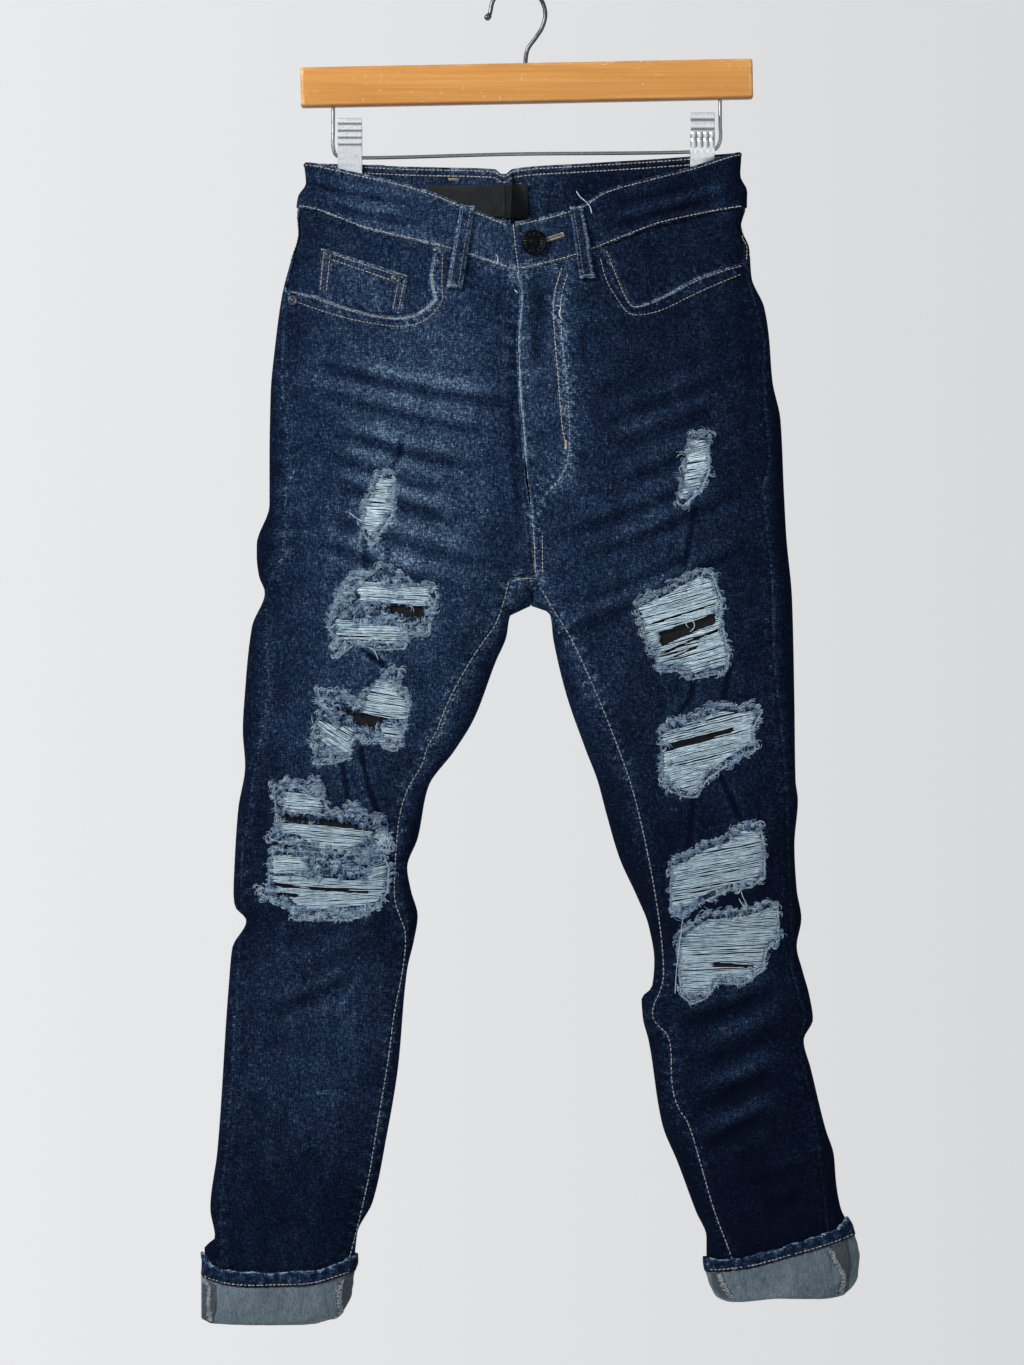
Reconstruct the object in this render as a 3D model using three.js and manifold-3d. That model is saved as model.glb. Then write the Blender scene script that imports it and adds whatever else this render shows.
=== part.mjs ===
// Ripped five-pocket jeans with turned-up cuffs, hung by the back of the waist from a wooden clip hanger.
// Millimetres, +Z up, the wearer's front faces -Y, so the wearer's right side lies at -X.
// The origin is the inside top of the hanger's hook, where it bears on its nail.
import * as THREE from "three";
import { mergeVertices } from "three/addons/utils/BufferGeometryUtils.js";
import Module from "manifold-3d";

const wasm = await Module();
wasm.setup();

// ---- Driving dimensions -------------------------------------------------------------------------
const WALL = 1.4; // denim
const GAP = 0.3; // between pieces at every seam
const BAND_OUT = 0.5; // the waistband stands proud of the panels by this
const BAND_WALL = 2.2; // two layers of denim
const LINER_WALL = 1.2; // pocket facings and the patches behind the rips
const THREAD_WALL = 1.0; // bare weft threads across a rip
const CUFF_WALL = 1.6;
const HEM_WALL = 2.6; // the doubled hem at the top of the turned-up cuff
const LOOP_WALL = 1.8;
const LABEL_WALL = 1.0;
const CROTCH_Z = -533;
const SADDLE_RISE = 85; // height over which the two legs blend into the hips
const HIP_FULLNESS = 3.2; // exponent of the section: 2 is an ellipse, more is flatter
const LEG_FULLNESS = 2.6;
const FRONT_CELLS = 6; // facets across each leg, and across each half of the hips
const BACK_CELLS = 4;
const CLIP_X = [-144.5, 159.5];
const CLIP_WIDTH = 21;
const WIRE_R = 1.6;
const HOOK_R = 1.85;
const HOOK_BEND_R = 24.1;
const BAR_DEPTH = 13;
const BUTTON_R = 11;
const RIVET_R = 4.3;

// ---- The outline, as [x, z] points down each edge -----------------------------------------------
const OUTER_RIGHT = [
  [-183, -130], [-183, -150], [-181, -168], [-188, -179], [-190, -194], [-189, -211], [-195, -233],
  [-203, -264], [-209, -307], [-213, -350], [-214, -407], [-214, -445], [-226, -484], [-223, -507],
  [-218, -521], [-229, -550], [-235, -605], [-237, -640], [-235, -670], [-241, -708], [-244, -752],
  [-245, -791], [-234, -805], [-246, -827], [-249, -858], [-259, -1003], [-265, -1052],
  [-261, -1077], [-270, -1086], [-270, -1160],
];
const INNER_RIGHT = [
  [12, -533], [-4, -538], [-10, -561], [-18, -579], [-38, -631], [-54, -657], [-77, -689],
  [-86, -733], [-95, -758], [-92, -777], [-86, -800], [-89, -820], [-95, -846], [-103, -931],
  [-113, -991], [-125, -1047], [-138, -1073], [-140, -1090], [-145, -1125], [-150, -1136],
  [-158, -1146], [-171, -1151], [-171, -1160],
];
const INNER_LEFT = [
  [12, -533], [28, -542], [31, -562], [41, -605], [59, -657], [69, -683], [77, -713], [88, -750],
  [103, -783], [113, -808], [118, -839], [116, -861], [107, -871], [108, -887], [113, -907],
  [125, -980], [138, -1012], [154, -1055], [163, -1077], [163, -1093], [165, -1109], [172, -1127],
  [181, -1133], [181, -1160],
];
const OUTER_LEFT = [
  [192, -130], [192, -142], [191, -161], [197, -175], [197, -188], [193, -205], [200, -224],
  [202, -249], [213, -275], [217, -300], [220, -338], [227, -372], [230, -435], [232, -472],
  [237, -527], [239, -614], [240, -683], [242, -700], [239, -739], [241, -777], [245, -802],
  [241, -826], [246, -847], [252, -869], [255, -889], [247, -907], [253, -931], [266, -984],
  [273, -1006], [275, -1030], [279, -1052], [286, -1067], [293, -1095], [292, -1109], [281, -1126],
  [271, -1130], [271, -1160],
];
const CENTRE = [
  [-4, -130], [-6, -206], [-1, -249], [3, -270], [1, -304], [2, -355], [6, -400], [12, -453],
  [15, -508], [12, -533],
];
const ROW_Z = [
  -132, -150, -178, -205, -233, -264, -304, -350, -407, -445, -484, -521, -533, -541, -561, -605,
  -670, -713, -752, -791, -805, -827, -871, -889, -907, -931, -980, -1030, -1076, -1086, -1109,
  -1148, -1160,
];

// Half depth of the section in front of and behind the middle plane, as [z, depth].
const FRONT_DEPTH = [
  [-130, 21], [-200, 25], [-300, 26], [-420, 23], [-533, 19], [-700, 17], [-850, 16], [-1000, 15],
  [-1160, 15],
];
const BACK_DEPTH = [
  [-130, 11], [-200, 15], [-300, 21], [-420, 23], [-533, 18], [-700, 15], [-850, 15], [-1000, 14],
  [-1160, 14],
];

// Folds of the cloth as soft troughs (depth above 0) and ridges (below 0) from one point to another.
const FRONT_FOLDS = [
  { from: [250, -906], to: [172, -962], wide: 11, depth: 7 },
  { from: [240, -884], to: [160, -935], wide: 15, depth: -5 },
  { from: [262, -936], to: [190, -988], wide: 18, depth: -4 },
  { from: [232, -846], to: [128, -893], wide: 11, depth: 5 },
  { from: [236, -868], to: [150, -884], wide: 9, depth: -4 },
  { from: [250, -1010], to: [216, -1070], wide: 14, depth: 4 },
  { from: [-100, -835], to: [-205, -915], wide: 18, depth: 4 },
  { from: [-120, -812], to: [-215, -868], wide: 16, depth: -3 },
  { from: [-98, -668], to: [-112, -745], wide: 17, depth: 4 },
  { from: [-195, -380], to: [-10, -430], wide: 15, depth: 3 },
  { from: [-190, -345], to: [-10, -372], wide: 17, depth: -2.5 },
  { from: [-200, -440], to: [-30, -488], wide: 15, depth: 2.5 },
  { from: [40, -460], to: [205, -395], wide: 15, depth: 3 },
  { from: [40, -405], to: [200, -350], wide: 17, depth: -2.5 },
  { from: [60, -500], to: [225, -455], wide: 15, depth: 2.5 },
];
const BACK_FOLDS = [
  { from: [-195, -452], to: [-30, -505], wide: 17, depth: 5 },
  { from: [35, -505], to: [200, -450], wide: 17, depth: 5 },
  { from: [-180, -400], to: [-30, -425], wide: 18, depth: -3 },
  { from: [40, -425], to: [190, -395], wide: 18, depth: -3 },
  { from: [-225, -765], to: [-115, -795], wide: 13, depth: 5 },
  { from: [-230, -835], to: [-115, -812], wide: 15, depth: 4 },
  { from: [228, -822], to: [120, -790], wide: 14, depth: 5 },
  { from: [250, -905], to: [140, -875], wide: 12, depth: 6 },
  { from: [255, -945], to: [150, -925], wide: 15, depth: -4 },
  { from: [-235, -960], to: [-130, -985], wide: 18, depth: 3 },
];

// ---- Seams and openings, as [x, z] points seen from the front -----------------------------------
const BAND_TOP_RIGHT = [[-200, -149], [-183, -150], [-152, -156], [-101, -169], [-47, -189], [-6, -206]];
const BAND_TOP_LEFT = [[-6, -206], [-2, -205], [41, -194], [61, -186], [70, -179], [150, -154], [205, -138]];
const BAND_FOOT_RIGHT = [[-205, -186], [-188, -190], [-122, -212], [-56, -229], [-40, -234], [-1, -247]];
const BAND_FOOT_LEFT = [[-1, -247], [43, -236], [63, -229], [98, -215], [125, -205], [195, -190], [215, -186]];
const BACK_BAND_TOP = [[-210, -149], [-100, -152], [-20, -154], [-12, -159], [-4, -154], [60, -149], [150, -144], [215, -139]];
const BACK_BAND_FOOT = [[-210, -189], [-100, -194], [-12, -200], [60, -196], [150, -191], [215, -187]];
const FLY = [[-1, -247], [3, -263], [3, -277], [0, -304], [2, -355], [5, -385], [7, -423], [12, -453], [15, -508]];
const INSEAM_RIGHT = [
  [15, -508], [0, -508], [-6, -512], [-10, -530], [-26, -561], [-58, -614], [-69, -644],
  [-80, -668], [-93, -689], [-102, -728], [-105, -775], [-94, -812], [-97, -846], [-109, -919],
  [-123, -1003], [-138, -1074], [-148, -1112], [-152, -1143],
];
const OUTSEAM_RIGHT = [
  [-262, -1143], [-255, -1083], [-256, -1052], [-249, -980], [-243, -883], [-238, -800],
  [-238, -752], [-225, -666], [-214, -605], [-217, -546], [-216, -515], [-200, -485], [-200, -432],
  [-196, -420], [-203, -338], [-201, -264], [-197, -248], [-188, -190],
];
const INSEAM_LEFT = [
  [15, -508], [29, -536], [44, -558], [69, -605], [96, -683], [115, -768], [122, -811],
  [125, -847], [114, -877], [117, -893], [131, -903], [131, -946], [137, -966], [146, -977],
  [168, -1055], [183, -1092], [190, -1123],
];
const OUTSEAM_LEFT = [
  [272, -1123], [267, -1073], [257, -984], [242, -908], [248, -886], [236, -846], [235, -791],
  [231, -683], [220, -572], [219, -511], [211, -433], [217, -408], [211, -338], [213, -305],
  [196, -243], [195, -190],
];
const SEAT_SEAM = [[-10, -120], [-8, -196], [0, -330], [8, -440], [15, -508], [13, -533], [12, -560]];
const YOKE_FOOT = [[-240, -228], [-190, -232], [-100, -256], [-4, -278], [95, -254], [195, -230], [240, -226]];
const POCKET_RIGHT = [
  [-72, -231], [-75, -251], [-73, -263], [-70, -270], [-78, -277], [-89, -284], [-103, -286],
  [-124, -283], [-147, -277], [-172, -267], [-206, -257],
];
const POCKET_LEFT = [
  [78, -228], [87, -251], [95, -270], [100, -277], [124, -268], [152, -252], [174, -244], [206, -235],
];
const FACING_RIGHT = [
  [-186, -193], [-122, -215], [-66, -230], [-64, -251], [-60, -272], [-72, -287], [-90, -295],
  [-125, -292], [-150, -286], [-198, -270], [-195, -245],
];
const FACING_LEFT = [
  [74, -227], [98, -218], [125, -208], [192, -193], [193, -238], [195, -247], [174, -253],
  [152, -261], [124, -277], [99, -287], [87, -276], [78, -253],
];
const COIN_POCKET = [[-169, -225], [-95, -250], [-100, -284], [-124, -281], [-147, -275], [-171, -265]];
const BACK_POCKET_RIGHT = [[-168, -292], [-36, -303], [-42, -420], [-104, -447], [-162, -412]];
const BACK_POCKET_LEFT = [[40, -303], [172, -290], [168, -410], [110, -446], [46, -420]];
const CUFF_TOP_RIGHT = [[-290, -1072], [-270, -1089], [-258, -1101], [-210, -1105], [-174, -1103], [-140, -1091], [-120, -1084]];
const HEM_FOOT_RIGHT = [[-290, -1098], [-274, -1107], [-263, -1113], [-234, -1118], [-186, -1117], [-152, -1109], [-120, -1096]];
const CUFF_FOOT_RIGHT = [[-290, -1147], [-272, -1147], [-263, -1150], [-171, -1151], [-120, -1151]];
const CUFF_TOP_LEFT = [[145, -1094], [181, -1094], [217, -1086], [247, -1077], [271, -1069], [281, -1060], [310, -1046]];
const HEM_FOOT_LEFT = [[145, -1104], [164, -1106], [197, -1102], [237, -1091], [261, -1084], [287, -1075], [312, -1065]];
const CUFF_FOOT_LEFT = [[145, -1127], [171, -1127], [181, -1132], [227, -1128], [271, -1129], [315, -1129]];
const BELT_LOOPS_FRONT = [
  { name: "belt_loop_front_right", at: [[-48, -190], [-36, -190], [-47, -262], [-60, -260]] },
  { name: "belt_loop_front_left", at: [[44, -191], [55, -191], [66, -252], [53, -253]] },
];
const BELT_LOOPS_BACK = [
  { name: "belt_loop_back_right", at: [[-126, -151], [-114, -151], [-114, -214], [-126, -214]] },
  { name: "belt_loop_back_centre", at: [[-14, -158], [-2, -158], [-2, -220], [-14, -220]] },
  { name: "belt_loop_back_left", at: [[104, -147], [116, -147], [116, -211], [104, -211]] },
];
const LABEL = [[-80, -166], [9, -166], [9, -196], [-80, -196]];

// Rips: the frayed outline, then the slots worn right through the threads.
const RIPS_RIGHT = [
  { name: "rip_threads_thigh_right", edge: [[-118, -418], [-107, -419], [-108, -455], [-123, -480], [-133, -460], [-125, -431]] },
  {
    name: "rip_threads_upper_right",
    edge: [[-140, -508], [-116, -496], [-95, -510], [-69, -524], [-76, -555], [-95, -556], [-97, -569], [-139, -564], [-155, -577], [-163, -550], [-156, -528]],
    slots: [[[-114, -531], [-77, -534], [-79, -545], [-107, -539]]],
  },
  {
    name: "rip_threads_knee_right",
    edge: [[-171, -605], [-150, -607], [-140, -617], [-108, -585], [-100, -588], [-94, -623], [-104, -657], [-138, -642], [-148, -668], [-174, -668], [-171, -629]],
    slots: [[[-164, -613], [-140, -622], [-112, -630], [-121, -635], [-144, -629]]],
  },
  {
    name: "rip_threads_shin_upper_right",
    edge: [[-209, -689], [-196, -682], [-174, -681], [-164, -708], [-150, -713], [-144, -702], [-119, -714], [-112, -733], [-138, -736], [-204, -733]],
    slots: [[[-201, -709], [-172, -717], [-129, -723], [-130, -728], [-172, -722], [-201, -715]]],
  },
  {
    name: "rip_threads_shin_lower_right",
    edge: [[-213, -748], [-188, -744], [-115, -748], [-111, -777], [-129, -796], [-192, -801], [-222, -777]],
    slots: [[[-205, -764], [-120, -768], [-120, -771], [-205, -768]]],
  },
];
const RIPS_LEFT = [
  { name: "rip_threads_thigh_left", edge: [[151, -385], [165, -386], [164, -417], [157, -433], [142, -447], [137, -440], [145, -396]] },
  {
    name: "rip_threads_upper_left",
    edge: [[102, -531], [140, -511], [167, -504], [175, -527], [181, -576], [179, -588], [146, -596], [119, -572]],
    slots: [[[122, -555], [169, -539], [169, -548], [124, -567]]],
  },
  {
    name: "rip_threads_knee_left",
    edge: [[122, -641], [154, -627], [172, -618], [208, -620], [204, -657], [162, -682], [154, -696], [143, -696], [125, -682]],
    slots: [[[126, -652], [184, -637], [185, -641], [127, -658]]],
  },
  { name: "rip_threads_shin_upper_left", edge: [[133, -752], [162, -737], [194, -721], [208, -721], [212, -765], [180, -777], [145, -796], [132, -796]] },
  {
    name: "rip_threads_shin_lower_left",
    edge: [[150, -806], [216, -790], [224, -821], [212, -844], [194, -857], [171, -856], [150, -874], [141, -867], [137, -828]],
    slots: [[[169, -837], [201, -839], [201, -843], [169, -843]]],
  },
];
const BACKING_RIGHT = [
  [-138, -410], [-102, -410], [-103, -488], [-62, -512], [-62, -562], [-86, -585], [-86, -640],
  [-96, -672], [-103, -740], [-103, -785], [-124, -806], [-196, -810], [-230, -780], [-218, -730],
  [-216, -680], [-184, -670], [-182, -600], [-171, -580], [-171, -520], [-140, -490],
];
const BACKING_LEFT = [
  [140, -378], [172, -378], [172, -430], [166, -490], [176, -496], [190, -590], [182, -612],
  [216, -610], [212, -700], [222, -716], [220, -775], [232, -790], [232, -825], [216, -852],
  [196, -866], [150, -882], [130, -868], [128, -815], [124, -800], [124, -745], [134, -710],
  [114, -690], [112, -634], [140, -612], [106, -575], [93, -525], [132, -500], [130, -440],
];

// ---- Materials ----------------------------------------------------------------------------------
function material(colour, roughness, metalness) {
  return new THREE.MeshStandardMaterial({ color: colour, roughness, metalness, side: THREE.DoubleSide });
}
const DENIM = material("#3d5272", 0.9, 0);
const DENIM_DARK = material("#2a3c5a", 0.9, 0);
const DENIM_WORN = material("#4a6080", 0.9, 0);
const DENIM_WRONG_SIDE = material("#8f9ca6", 0.92, 0);
const THREADS = material("#c3d2d9", 0.95, 0);
const BLACK_CLOTH = material("#262427", 0.95, 0);
const LABEL_CLOTH = material("#1f2023", 0.85, 0);
const BUTTON_METAL = material("#1c1c1e", 0.4, 0.8);
const RIVET_METAL = material("#3c4046", 0.45, 0.85);
const WOOD = material("#cf9a55", 0.55, 0);
const CHROME = material("#b9bcc0", 0.22, 1);
const HOOK_CHROME = material("#6e7276", 0.25, 1);

// ---- Small tools --------------------------------------------------------------------------------
function edgeAt(edge, z) {
  for (let i = 1; i < edge.length; i += 1) {
    if (z >= edge[i][1]) {
      const [x0, z0] = edge[i - 1];
      const [x1, z1] = edge[i];
      const t = Math.min(1, Math.max(0, (z0 - z) / Math.max(z0 - z1, 1e-6)));
      return x0 + (x1 - x0) * t;
    }
  }
  return edge[edge.length - 1][0];
}

function depthAt(table, z) {
  return edgeAt(table.map(([height, depth]) => [depth, height]), z);
}

function foldAt(folds, x, z) {
  let sum = 0;
  for (const { from, to, wide, depth } of folds) {
    const along = new THREE.Vector2(to[0] - from[0], to[1] - from[1]);
    const here = new THREE.Vector2(x - from[0], z - from[1]);
    const t = THREE.MathUtils.clamp(here.dot(along) / along.lengthSq(), 0, 1);
    const off = here.addScaledVector(along, -t).length();
    sum += depth * Math.exp(-((off / wide) ** 2));
  }
  return sum;
}

function solid(geometry) {
  const bare = geometry.index ? geometry.toNonIndexed() : geometry.clone();
  bare.deleteAttribute("normal");
  bare.deleteAttribute("uv");
  const merged = mergeVertices(bare, 1e-4);
  const index = merged.index.array;
  const kept = [];
  for (let i = 0; i < index.length; i += 3) {
    const [a, b, c] = [index[i], index[i + 1], index[i + 2]];
    if (a !== b && b !== c && c !== a) kept.push(a, b, c);
  }
  const mesh = new wasm.Mesh({
    numProp: 3,
    vertProperties: merged.attributes.position.array,
    triVerts: new Uint32Array(kept),
  });
  return new wasm.Manifold(mesh);
}

function geometryOf(made) {
  const mesh = made.getMesh();
  const geometry = new THREE.BufferGeometry();
  geometry.setAttribute("position", new THREE.BufferAttribute(mesh.vertProperties, 3));
  geometry.setIndex(new THREE.BufferAttribute(mesh.triVerts, 1));
  const flat = geometry.toNonIndexed();
  flat.computeVertexNormals();
  return flat;
}

// An outline in X and Z carried through the depths y0 to y1.
function prism(outline, y0, y1) {
  const shape = new THREE.Shape(outline.map(([x, z]) => new THREE.Vector2(x, z)));
  const geometry = new THREE.ExtrudeGeometry(shape, { depth: y1 - y0, bevelEnabled: false });
  geometry.rotateX(Math.PI / 2);
  geometry.translate(0, y1, 0);
  return solid(geometry);
}

// A narrow cut along a run of points, the width of a seam gap.
function slit(line, y0, y1, wide = 2 * GAP) {
  const sides = [[], []];
  line.forEach(([x, z], i) => {
    const before = line[Math.max(i - 1, 0)];
    const after = line[Math.min(i + 1, line.length - 1)];
    const a = new THREE.Vector2(x - before[0], z - before[1]).normalize();
    const b = new THREE.Vector2(after[0] - x, after[1] - z).normalize();
    const run = a.add(b).normalize();
    const reach = wide / 2 / Math.max(0.6, Math.abs(run.dot(b.lengthSq() ? b : run)));
    sides[0].push([x - run.y * reach, z + run.x * reach]);
    sides[1].unshift([x + run.y * reach, z - run.x * reach]);
  });
  return prism([...sides[0], ...sides[1]], y0, y1);
}

function union(...solids) {
  return solids.reduce((a, b) => a.add(b));
}

function minus(base, ...cuts) {
  return cuts.reduce((a, b) => a.subtract(b), base);
}

// A ring of points opened at the middle of one side, so that a slit meets itself end to end.
function closed(line) {
  const [x0, z0] = line[line.length - 1];
  const [x1, z1] = line[0];
  const middle = [(x0 + x1) / 2, (z0 + z1) / 2];
  return [middle, ...line, middle];
}

// ---- The form of the worn cloth -----------------------------------------------------------------
// Half depth of the section at share s of a leg's width (0 outside, 1 inside) and height z.
function sectionShare(s, legOuter, legInner, bodyOuter, bodyOther, x, z) {
  const leg = Math.sqrt(Math.max(0, 1 - Math.abs(2 * s - 1) ** LEG_FULLNESS));
  const middle = (bodyOuter + bodyOther) / 2;
  const reach = Math.abs(x - middle) / Math.abs(bodyOther - middle);
  const hips = Math.sqrt(Math.max(0, 1 - reach ** HIP_FULLNESS));
  const blend = THREE.MathUtils.clamp((z - CROTCH_Z) / SADDLE_RISE, 0, 1);
  return Math.sqrt((1 - blend) * leg * leg + blend * hips * hips);
}

// The waist closes on the clips and opens between them.
function pinchAt(x, z, keep) {
  const fade = THREE.MathUtils.smoothstep(z, -250, -165);
  const near = Math.max(...CLIP_X.map((at) => Math.exp(-(((x - at) / 34) ** 2))));
  return 1 - (1 - keep) * near * fade;
}

// One point of the surface that lies `out` millimetres outside the panels' face.
function surfacePoint(left, row, cell, front, out) {
  const cells = front ? FRONT_CELLS : BACK_CELLS;
  const s = (1 - Math.cos((Math.PI * cell) / cells)) / 2;
  const nominal = ROW_Z[row];
  const atCrotch = nominal === CROTCH_Z;
  const isLeg = nominal < CROTCH_Z;
  const z = atCrotch && cell === cells ? nominal - out : nominal;
  const outer = edgeAt(left ? OUTER_LEFT : OUTER_RIGHT, nominal);
  const other = edgeAt(left ? OUTER_RIGHT : OUTER_LEFT, nominal);
  const inner = isLeg ? edgeAt(left ? INNER_LEFT : INNER_RIGHT, nominal) : edgeAt(CENTRE, nominal);
  const way = left ? 1 : -1;
  const grownOuter = outer + way * out;
  const grownInner = isLeg ? inner - way * out : inner;
  const plain = outer + (inner - outer) * s;
  const x = grownOuter + (grownInner - grownOuter) * s;
  let share = sectionShare(s, outer, inner, outer, other, plain, nominal);
  if (cell === 0 || (cell === cells && (isLeg || atCrotch))) share = 0;
  const depth = depthAt(front ? FRONT_DEPTH : BACK_DEPTH, nominal) * pinchAt(plain, nominal, front ? 0.24 : 0.45);
  const fold = foldAt(front ? FRONT_FOLDS : BACK_FOLDS, plain, nominal) * share;
  const y = (depth + out) * share - fold;
  return [x, front ? -y : y, z];
}

function quad(list, a, b, c, d) {
  list.push(...a, ...b, ...c, ...a, ...c, ...d);
}

// A flat end of the form, between its front and back faces.
function cap(list, contour, upward) {
  const flat = contour.map(([x, y]) => new THREE.Vector2(x, y));
  for (const corners of THREE.ShapeUtils.triangulateShape(flat, [])) {
    const [a, b, c] = corners.map((k) => contour[k]);
    const area = (b[0] - a[0]) * (c[1] - a[1]) - (c[0] - a[0]) * (b[1] - a[1]);
    if (area > 0 === upward) list.push(...a, ...b, ...c);
    else list.push(...a, ...c, ...b);
  }
}

// The whole garment as a filled form, grown or shrunk by `out`; walls are made from pairs of these.
function form(out) {
  const list = [];
  const last = ROW_Z.length - 1;
  const line = (left, row, front) => {
    const cells = front ? FRONT_CELLS : BACK_CELLS;
    return Array.from({ length: cells + 1 }, (_, cell) => surfacePoint(left, row, cell, front, out));
  };
  for (const left of [false, true]) {
    for (const front of [true, false]) {
      for (let row = 0; row < last; row += 1) {
        const above = line(left, row, front);
        const below = line(left, row + 1, front);
        // Below the crotch the inner edge leaves the centre line.
        for (let cell = 0; cell < above.length - 1; cell += 1) {
          const corners = [below[cell], below[cell + 1], above[cell + 1], above[cell]];
          if (left === front) corners.reverse();
          quad(list, ...corners);
        }
      }
    }
    cap(list, [...line(left, last, true), ...line(left, last, false).slice(1, -1).reverse()], false);
  }
  const across = (front) => [...line(false, 0, front), ...line(true, 0, front).slice(0, -1).reverse()];
  cap(list, [...across(true), ...across(false).slice(1, -1).reverse()], true);
  const geometry = new THREE.BufferGeometry();
  geometry.setAttribute("position", new THREE.Float32BufferAttribute(list, 3));
  return geometry;
}

const FORMS = new Map();
function formSolid(out) {
  if (!FORMS.has(out)) FORMS.set(out, solid(form(out)));
  return FORMS.get(out);
}

// A wall whose outer face is `out` outside the panels' face.
function wall(out, thick) {
  return formSolid(out).subtract(formSolid(out - thick));
}

// Depth of the grown form's front or back face at a point.
const caster = new THREE.Raycaster();
const faces = new Map();
function faceY(x, z, out, front = true) {
  if (!faces.has(out)) faces.set(out, new THREE.Mesh(form(out), new THREE.MeshBasicMaterial({ side: THREE.DoubleSide })));
  caster.set(new THREE.Vector3(x, front ? -200 : 200, z), new THREE.Vector3(0, front ? 1 : -1, 0));
  return caster.intersectObject(faces.get(out))[0].point.y;
}

// ---- Assembly -----------------------------------------------------------------------------------
const part = new THREE.Group();
part.name = "ripped_jeans_on_clip_hanger";

function add(name, made, look) {
  const geometry = made.isBufferGeometry ? made : geometryOf(made);
  const mesh = new THREE.Mesh(geometry, look);
  mesh.name = name;
  part.add(mesh);
}

const NEAR = -140;
const FAR = 140;
const down = (line) => [...line].reverse();

// Front panels, with their pocket mouths and rips cut out.
const FRONT_RIGHT = [...BAND_FOOT_RIGHT.slice(1), ...FLY.slice(1), ...INSEAM_RIGHT.slice(1), ...OUTSEAM_RIGHT.slice(0, -1)];
const FRONT_LEFT = [...down(FLY), ...BAND_FOOT_LEFT.slice(1, -1), ...down(OUTSEAM_LEFT).slice(1), ...down(INSEAM_LEFT).slice(0, -1)];
const denim = wall(0, WALL);
const mouthRight = prism([...POCKET_RIGHT, [-206, -180], [-150, -180], [-72, -200]], NEAR, 1);
const mouthLeft = prism([...POCKET_LEFT, [206, -180], [150, -180], [78, -200]], NEAR, 1);

function frontPanel(outline, mouth, bandFoot, rips) {
  const holes = rips.map((rip) => prism(rip.edge, NEAR, 1));
  return minus(denim.intersect(prism(outline, NEAR, 0)), mouth, slit(bandFoot, NEAR, 1), ...holes);
}

const frontRight = frontPanel(FRONT_RIGHT, mouthRight, BAND_FOOT_RIGHT, RIPS_RIGHT);
const frontLeft = frontPanel(FRONT_LEFT, mouthLeft, BAND_FOOT_LEFT, RIPS_LEFT);
add("front_panel_right", frontRight, DENIM);
add("front_panel_left", minus(frontLeft, slit(FLY, NEAR, 1)), DENIM);

// Back panels and yokes: all that is left of the wall, which wraps a little way onto the front.
const aboveBand = union(
  prism([[-260, -100], ...BAND_FOOT_RIGHT, ...BAND_FOOT_LEFT.slice(1), [260, -100]], NEAR, 2 * GAP),
  prism([[-260, -100], ...BACK_BAND_FOOT.map(([x, z]) => [x, z - GAP]), [260, -100]], -2 * GAP, FAR),
);
const belowFold = union(
  prism([[-320, -1143], [0, -1143], [0, -1200], [-320, -1200]], NEAR, FAR),
  prism([[0, -1123], [340, -1123], [340, -1200], [0, -1200]], NEAR, FAR),
);
const back = minus(
  denim,
  aboveBand,
  belowFold,
  prism(FRONT_RIGHT, NEAR, 0),
  prism(FRONT_LEFT, NEAR, 0),
  slit(INSEAM_RIGHT, NEAR, 0),
  slit(OUTSEAM_RIGHT, NEAR, 0),
  slit(INSEAM_LEFT, NEAR, 0),
  slit(OUTSEAM_LEFT, NEAR, 0),
  slit(BAND_FOOT_RIGHT, NEAR, 0),
  slit(BAND_FOOT_LEFT, NEAR, 0),
);
const seatCut = slit(SEAT_SEAM, NEAR, FAR, GAP);
const yokeCut = slit(YOKE_FOOT, NEAR, FAR, GAP);
const rightHalf = prism([...SEAT_SEAM, [12, -1200], [-340, -1200], [-340, -100], [-10, -100]], NEAR, FAR);
const yokeZone = prism([...YOKE_FOOT, [240, -100], [-240, -100]], NEAR, FAR);
const backRight = back.intersect(rightHalf).subtract(seatCut);
const backLeft = minus(back, rightHalf, seatCut);
add("yoke_right", backRight.intersect(yokeZone).subtract(yokeCut), DENIM);
add("yoke_left", backLeft.intersect(yokeZone).subtract(yokeCut), DENIM);
add("back_panel_right", minus(backRight, yokeZone, yokeCut), DENIM_DARK);
add("back_panel_left", minus(backLeft, yokeZone, yokeCut), DENIM_DARK);

// Waistband, in its two fronts and its back.
const band = wall(BAND_OUT, BAND_WALL);
const bandRight = prism([...BAND_TOP_RIGHT, ...down(BAND_FOOT_RIGHT)], NEAR, -GAP / 2);
const bandLeft = prism([...BAND_TOP_LEFT, ...down(BAND_FOOT_LEFT)], NEAR, -GAP / 2);
const flyTop = slit([[-6, -200], [-6, -206], [-1, -247], [-1, -255]], NEAR, 0, GAP);
add("waistband_front_right", band.intersect(bandRight).subtract(flyTop), DENIM_WORN);
add("waistband_front_left", band.intersect(bandLeft).subtract(flyTop), DENIM_WORN);
add("waistband_back", band.intersect(prism([...BACK_BAND_TOP, ...down(BACK_BAND_FOOT)], GAP / 2, FAR)), DENIM_WORN);
add("label", wall(BAND_OUT - BAND_WALL - GAP, LABEL_WALL).intersect(prism(LABEL, 0, FAR)), LABEL_CLOTH);

// Belt loops stand on the band and the panels under it.
const loopWall = wall(BAND_OUT + GAP + LOOP_WALL, LOOP_WALL);
for (const { name, at } of BELT_LOOPS_FRONT) add(name, loopWall.intersect(prism(at, NEAR, 0)), DENIM_WORN);
for (const { name, at } of BELT_LOOPS_BACK) add(name, loopWall.intersect(prism(at, 0, FAR)), DENIM_WORN);

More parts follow.
